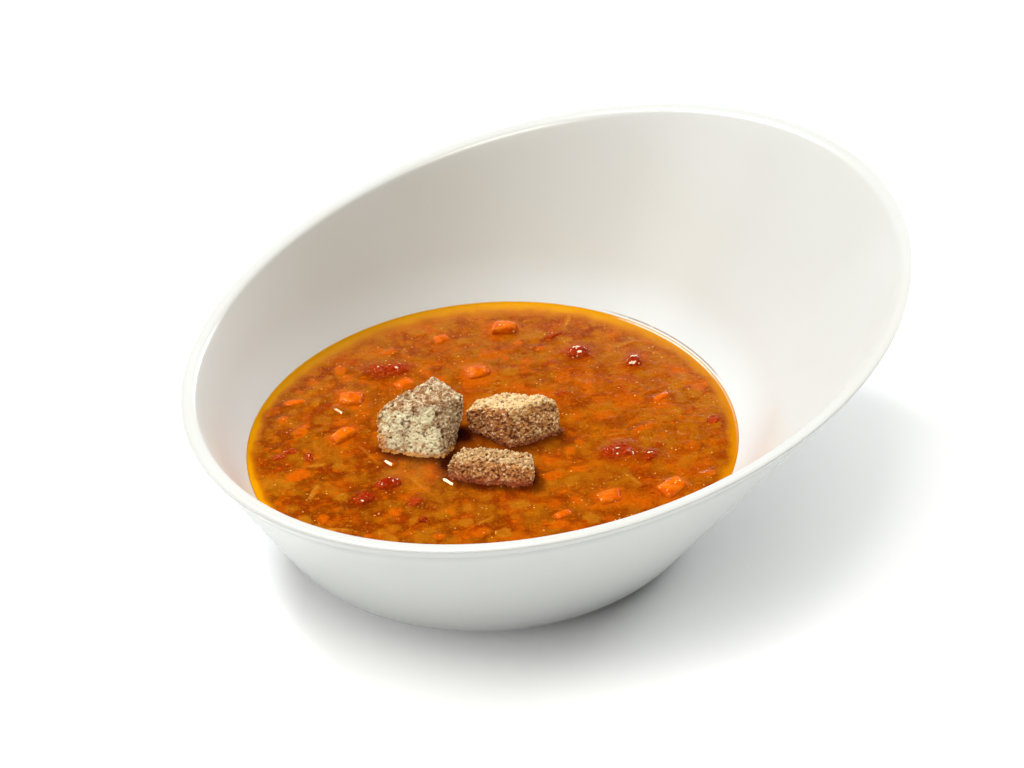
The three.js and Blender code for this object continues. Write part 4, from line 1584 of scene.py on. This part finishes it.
class SoupTop:
    """The soup's upper surface, point by point: where it lies and what is painted on it."""

    def __init__(self, bowl, soup):
        self.soup = soup
        ring, self.angle, self.faces, self.border = disc_grid(SOUP_RINGS)
        top = np.full(len(self.angle), soup.level + soup.wall_rise)
        edge = inner_wall_at_height(bowl, self.angle, top, -INTO_WALL_MM * MM)
        middle_x = (edge[:, 0].max() + edge[:, 0].min()) / 2
        reach = (edge[:, 0].max() - edge[:, 0].min()) / 2 / MM
        share = 1 - ring_depths(SOUP_RINGS, reach)[SOUP_RINGS - ring]
        self.x = middle_x + (edge[:, 0] - middle_x) * share
        self.y = edge[:, 1] * share
        self.x_mm = (self.x - foot_x(bowl)) / MM
        self.y_mm = self.y / MM
        self.inward = np.hypot(edge[:, 0] - middle_x, edge[:, 1]) * (1 - share)
        self.height = soup.level + soup.wall_rise * np.exp(-self.inward / soup.creep)
        self.colour, self.cover, self.lift = paint_bits(self.x_mm, self.y_mm, all_bits(bowl, soup))
        self.still = np.zeros(len(self.x))
        self.clear = np.ones(len(self.x))
        self.closeness = []

    def noise(self, size, seed, size_across=None):
        """Smooth noise over the surface, its bumps of a size in millimetres."""
        return lattice_noise(self.x_mm / size, self.y_mm / (size_across or size), seed)

    def roughen(self):
        """Swells over the whole surface and over the bits, but none at the wall and the ripples."""
        width = self.soup.oil_width
        calm = smooth_step(self.inward, width * 0.6, width * 1.6)
        swell = sum(self.noise(size, seed, across) * rise for size, across, seed, rise in SWELLS)
        for (at_x, at_y), length, _ in RIPPLES:
            away = np.hypot(self.x_mm - at_x, self.y_mm - at_y)
            self.still = np.maximum(self.still, smooth_step(-away, -length, -length * 0.6))
        self.height += (swell + self.lift) * calm * (1 - self.still) * MM

    def meet(self, node, ending, rise, creep, halo):
        """Soup creeps up a piece and sinks out of sight inside it, and is stained or shaded by it."""
        level = self.soup.level
        low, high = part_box(node)
        over_x = (self.x > low.x - MEETING_MARGIN) & (self.x < high.x + MEETING_MARGIN)
        over_y = (self.y > low.y - MEETING_MARGIN) & (self.y < high.y + MEETING_MARGIN)
        near = np.flatnonzero(over_x & over_y)
        spots = np.column_stack([self.x[near], self.y[near], np.full(len(near), level)])
        far = distances_to(built_piece(f"{node}_{ending}"), spots) / MM
        outside = np.maximum(far, 0)
        self.height[near] += rise * MM * np.exp(-((outside / creep) ** 2))
        inside = np.maximum(-far - SINK_FROM_MM, 0)
        deepest = (level - low.z) / MM * SINK_SHARE
        self.height[near] -= np.minimum(inside * SINK_SLOPE, deepest) * MM
        if halo:
            ragged = self.noise(1.3, 37)[near] * 0.6
            amount = smooth_step(-far + ragged, *HALO_MM) * HALO_STRENGTH
            self.colour[near] = blended(self.colour[near], halo, amount)
            self.cover[near] = np.maximum(self.cover[near], amount)
        else:
            self.clear[near] *= 1 - FOOT_SHADE * np.exp(-((outside / FOOT_SHADE_MM) ** 2))
            self.still[near] = np.maximum(self.still[near], smooth_step(-far, *CALM_NEAR_CROUTONS_MM))
            close = np.zeros(len(self.x))
            close[near] = np.exp(-((outside / GAP_SHADE_MM) ** 2))
            self.closeness.append(close)

    def ripple(self, middle, length, turn):
        """One smooth ridge with level soup beside it."""
        heading = math.radians(turn)
        dx = self.x_mm - middle[0]
        dy = self.y_mm - middle[1]
        along = dx * math.cos(heading) + dy * math.sin(heading)
        beside = dy * math.cos(heading) - dx * math.sin(heading)
        ends = smooth_step(-np.abs(along), -length / 2 - RIPPLE_ENDS_MM, -length / 2 + RIPPLE_ENDS_MM)
        ridge = RIPPLE_HEIGHT_MM * ends * np.exp(-(((beside - RIPPLE_OFFSET_MM) / RIPPLE_WIDTH_MM) ** 2))
        narrow, wide = RIPPLE_CALM_MM
        level = self.soup.level
        own = ends * smooth_step(-np.abs(beside), -wide, -narrow) * (self.height > level - 0.4 * MM)
        self.height += (level - self.height) * own + ridge * MM

    def shade(self):
        """How dark the soup is at the croutons' feet and in the gaps between them."""
        for first, second in itertools.combinations(self.closeness, 2):
            self.clear *= 1 - GAP_SHADE * np.minimum(1, GAP_SHADE_GAIN * first * second)
        return 1 - self.clear

    def oil(self):
        """The ring of oil along the wall, wider at the back, with a ragged inner edge."""
        ragged = sum(self.noise(size, seed) * strength for size, seed, strength in OIL_BUMPS)
        back = 1.0 + OIL_BACK_GAIN * smooth_step(self.y_mm - np.abs(self.x_mm) * 0.4, -10, 50)
        width = self.soup.oil_width / MM * back * OIL_WIDTH_SHARE
        return np.clip(1.05 - (self.inward / MM + ragged * OIL_RAGGED_MM) / width, 0, 1)

    def painted_edge_shine(self):
        """The painted highlight: a thin line of light along the right and back of the edge, by angle in
        degrees.
        """
        turned = (np.degrees(self.angle) + 180) % 360 - 180
        painted_shine = sum(share * smooth_step(turned, start, end) for share, start, end in SHINE_STEPS)
        full, gone = SHINE_END
        line = np.exp(-(((self.inward / MM - SHINE_FROM_EDGE_MM) / SHINE_HALF_WIDTH_MM) ** 2))
        return painted_shine * smooth_step(-turned, -gone, -full) * line


def built_piece(name):
    """A piece that an earlier operator has built."""
    if name not in bpy.data.objects:
        raise RuntimeError(f"{name} has to be built before the soup")
    return bpy.data.objects[name]


def soup_underside(bowl, angle):
    """Loops of points that close the soup under its edge, from its side to the middle below."""
    count = len(angle)

    def wall_at(height):
        return inner_wall_at_height(bowl, angle, np.full(count, height), SKIRT_GAP_MM * MM)

    loops = [wall_at(height * MM) for height in SKIRT_HEIGHTS_MM]
    floor = (FLOOR_HEIGHT_MM + SKIRT_GAP_MM) * MM
    start = loops[-1]
    corner = wall_at(floor)
    radius = FLOOR_RADIUS_MM * MM
    end = np.column_stack(
        [foot_x(bowl) + radius * np.cos(angle), radius * np.sin(angle), np.full(count, floor)]
    )
    for t in (0.25, 0.5, 0.75, 1.0):
        loops.append(start * (1 - t) ** 2 + corner * 2 * t * (1 - t) + end * t * t)
    return loops, np.array([[foot_x(bowl), 0, floor]])


def soup_mesh(top, bowl):
    """The soup's closed mesh, whose first points are those of its upper surface."""
    count = len(top.x)
    size = len(top.border)
    under, middle = soup_underside(bowl, top.angle[top.border])
    points = np.concatenate([np.column_stack([top.x, top.y, top.height]), *under, middle])
    loops = [top.border, *(np.arange(size) + count + size * k for k in range(len(under)))]
    faces = top.faces.tolist()
    for upper, lower in zip(loops, loops[1:]):
        faces += np.stack([np.roll(upper, -1), upper, lower, np.roll(lower, -1)], axis=-1).tolist()
    last = np.full(size, len(points) - 1)
    faces += np.stack([np.roll(loops[-1], -1), loops[-1], last], axis=-1).tolist()
    return mesh_from("soup", points, faces)


class LENTILSOUP_OT_soup(bpy.types.Operator):
    """Build the soup up to its level, with its edge creeping up the bowl and the food"""

    bl_idname = "lentil_soup.soup"
    bl_label = "Soup"

    def execute(self, context):
        bowl = context.scene.soup_bowl
        soup = context.scene.soup_body
        top = SoupTop(bowl, soup)
        top.roughen()
        for nodes, *meeting in MEETINGS:
            for node in nodes:
                top.meet(node, *meeting)
        for ripple in RIPPLES:
            top.ripple(*ripple)
        mesh = soup_mesh(top, bowl)
        below = len(mesh.vertices) - len(top.x)
        tint = np.column_stack([top.colour, top.cover])
        set_attribute(mesh, "food_below", np.pad(tint, ((0, below), (0, 0))), "FLOAT_COLOR")
        set_attribute(mesh, "oil", np.pad(top.oil(), (0, below), constant_values=1))
        for name, values in (
            ("soup_shade", top.shade()),
            ("still", top.still),
            ("painted_edge_shine", top.painted_edge_shine()),
        ):
            set_attribute(mesh, name, np.pad(values, (0, below)))
        mesh.materials.append(soup_material(soup))
        mesh.shade_smooth()
        made = new_object("soup_surface", mesh)
        face_outwards(made)
        stand_for(made, "soup", "soup")
        return {"FINISHED"}


FLOOR_SIZE = 8.0
GLOW_MIDDLE = (0.002, 0.010, 0)
GLOW_REACH = (0.050, 0.110)
LIGHT_DISTANCE = 3.0
LIGHT_TARGET = (0, 0, 0.03)


def add_softbox(name, azimuth, elevation, size, power, colour):
    """A square softbox that looks at the bowl, its direction in degrees from +X and above the table."""
    light = bpy.data.lights.new(name, "AREA")
    light.shape = "SQUARE"
    light.size = size
    light.energy = power
    light.color = colour
    level_share = math.cos(math.radians(elevation))
    outward = Vector(
        (
            level_share * math.cos(math.radians(azimuth)),
            level_share * math.sin(math.radians(azimuth)),
            math.sin(math.radians(elevation)),
        )
    )
    box = new_object(name, light)
    box.location = Vector(LIGHT_TARGET) + outward * LIGHT_DISTANCE
    box.rotation_mode = "QUATERNION"
    box.rotation_quaternion = (-outward).to_track_quat("-Z", "Y")
    box.visible_camera = False
    return box


def camera_matrix(stage, bowl):
    """Where the camera stands and how it is turned, so that the bowl lies where the picture has it."""
    foot = Vector((foot_x(bowl), 0, 0))
    ahead = Vector((0, math.cos(stage.elevation), -math.sin(stage.elevation)))
    level_up = Vector((0, math.sin(stage.elevation), math.cos(stage.elevation)))
    level_right = Vector((1, 0, 0))
    right = level_right * math.cos(stage.roll) - level_up * math.sin(stage.roll)
    up = level_right * math.sin(stage.roll) + level_up * math.cos(stage.roll)
    focal = stage.lens / SENSOR_MM * PICTURE_WIDTH
    aside = PICTURE_WIDTH / 2 - FOOT_PIXEL[0]
    above = FOOT_PIXEL[1] - PICTURE_HEIGHT / 2
    centre = (ahead * focal + right * aside + up * above).normalized()
    up = (up - centre * up.dot(centre)).normalized()
    right = centre.cross(up)
    turned = Matrix((right, up, -centre)).transposed().to_4x4()
    turned.translation = foot - ahead * stage.distance
    return turned


class LENTILSOUP_OT_stage(bpy.types.Operator):
    """Set up the camera, the pale floor and the studio light"""

    bl_idname = "lentil_soup.stage"
    bl_label = "Stage"

    def execute(self, context):
        scene = context.scene
        stage = scene.soup_stage
        scene.view_settings.view_transform = "Standard"
        scene.view_settings.look = "None"
        lens = bpy.data.cameras.new("Camera")
        lens.lens = stage.lens
        lens.sensor_width = SENSOR_MM
        lens.clip_end = 20
        camera = new_object("Camera", lens)
        camera.matrix_world = camera_matrix(stage, scene.soup_bowl)
        scene.camera = camera

        half = FLOOR_SIZE / 2
        corners = [(-half, -half, 0), (half, -half, 0), (half, half, 0), (-half, half, 0)]
        floor = new_object("Floor", mesh_from("Floor", corners, [(0, 1, 2, 3)]))
        material, tree, shader, place = new_material("Pale table", 0.6, Specular_IOR_Level=0.1)
        tone = noise(tree, place, 0.4, detail=2.0)
        paint = Paint(tree, (0.93, 0.93, 0.925))
        paint.coat(tone.ramp(0.3, 0.7), (0.95, 0.95, 0.945))
        away = Value(tree, vector_math(tree, "DISTANCE", place, GLOW_MIDDLE))
        paint.coat(away.ramp(*GLOW_REACH), (0.66, 0.66, 0.655))
        tree.links.new(paint.colour, shader.inputs["Base Color"])
        plug(tree, away.ramp(*GLOW_REACH, 0.0, stage.glow), shader.inputs["Emission Strength"])
        shader.inputs["Emission Color"].default_value = (1, 1, 1, 1)
        floor.data.materials.append(material)

        world = bpy.data.worlds.new("Studio")
        world.use_nodes = True
        background = next(node for node in world.node_tree.nodes if node.type == "BACKGROUND")
        background.inputs["Color"].default_value = (1.0, 1.0, 1.0, 1.0)
        background.inputs["Strength"].default_value = stage.room
        scene.world = world

        add_softbox("Key softbox", 135, 50, 0.56, stage.key_power, (0.95, 0.98, 1.0))
        add_softbox("Back softbox", 45, 18, 1.5, stage.back_power, (0.97, 1.0, 1.0))
        add_softbox("Side softbox", 192, 28, 1.5, stage.side_power, (1.0, 0.99, 0.94))
        add_softbox("High softbox", 250, 70, 1.2, stage.high_power, (1.0, 0.985, 0.90))
        return {"FINISHED"}


OPERATORS = (
    LENTILSOUP_OT_stage,
    LENTILSOUP_OT_bowl,
    LENTILSOUP_OT_croutons,
    LENTILSOUP_OT_carrots,
    LENTILSOUP_OT_tomatoes,
    LENTILSOUP_OT_bits,
    LENTILSOUP_OT_soup,
)


SETTINGS = {
    "soup_bowl": BowlSettings,
    "soup_body": SoupSettings,
    "soup_food": FoodSettings,
    "soup_stage": StageSettings,
}


class LENTILSOUP_PT_panel(bpy.types.Panel):
    """Lists the pieces of the bowl of soup and their settings"""

    bl_label = "Lentil Soup"
    bl_idname = "LENTILSOUP_PT_panel"
    bl_space_type = "VIEW_3D"
    bl_region_type = "UI"
    bl_category = "Lentil Soup"

    def draw(self, context):
        for operator in OPERATORS:
            self.layout.operator(operator.bl_idname)
        for name, settings in SETTINGS.items():
            box = self.layout.box()
            for field in settings.__annotations__:
                box.prop(getattr(context.scene, name), field)


def register():
    for settings in SETTINGS.values():
        bpy.utils.register_class(settings)
    for operator in OPERATORS:
        bpy.utils.register_class(operator)
    bpy.utils.register_class(LENTILSOUP_PT_panel)
    for name, settings in SETTINGS.items():
        setattr(bpy.types.Scene, name, PointerProperty(type=settings))


def unregister():
    for name in SETTINGS:
        delattr(bpy.types.Scene, name)
    bpy.utils.unregister_class(LENTILSOUP_PT_panel)
    for operator in reversed(OPERATORS):
        bpy.utils.unregister_class(operator)
    for settings in SETTINGS.values():
        bpy.utils.unregister_class(settings)


def main():
    register()
    bpy.ops.lentil_soup.stage()
    bpy.ops.lentil_soup.bowl()
    bpy.ops.lentil_soup.croutons()
    bpy.ops.lentil_soup.carrots()
    bpy.ops.lentil_soup.tomatoes()
    bpy.ops.lentil_soup.bits()
    bpy.ops.lentil_soup.soup()


if __name__ == "__main__":
    main()
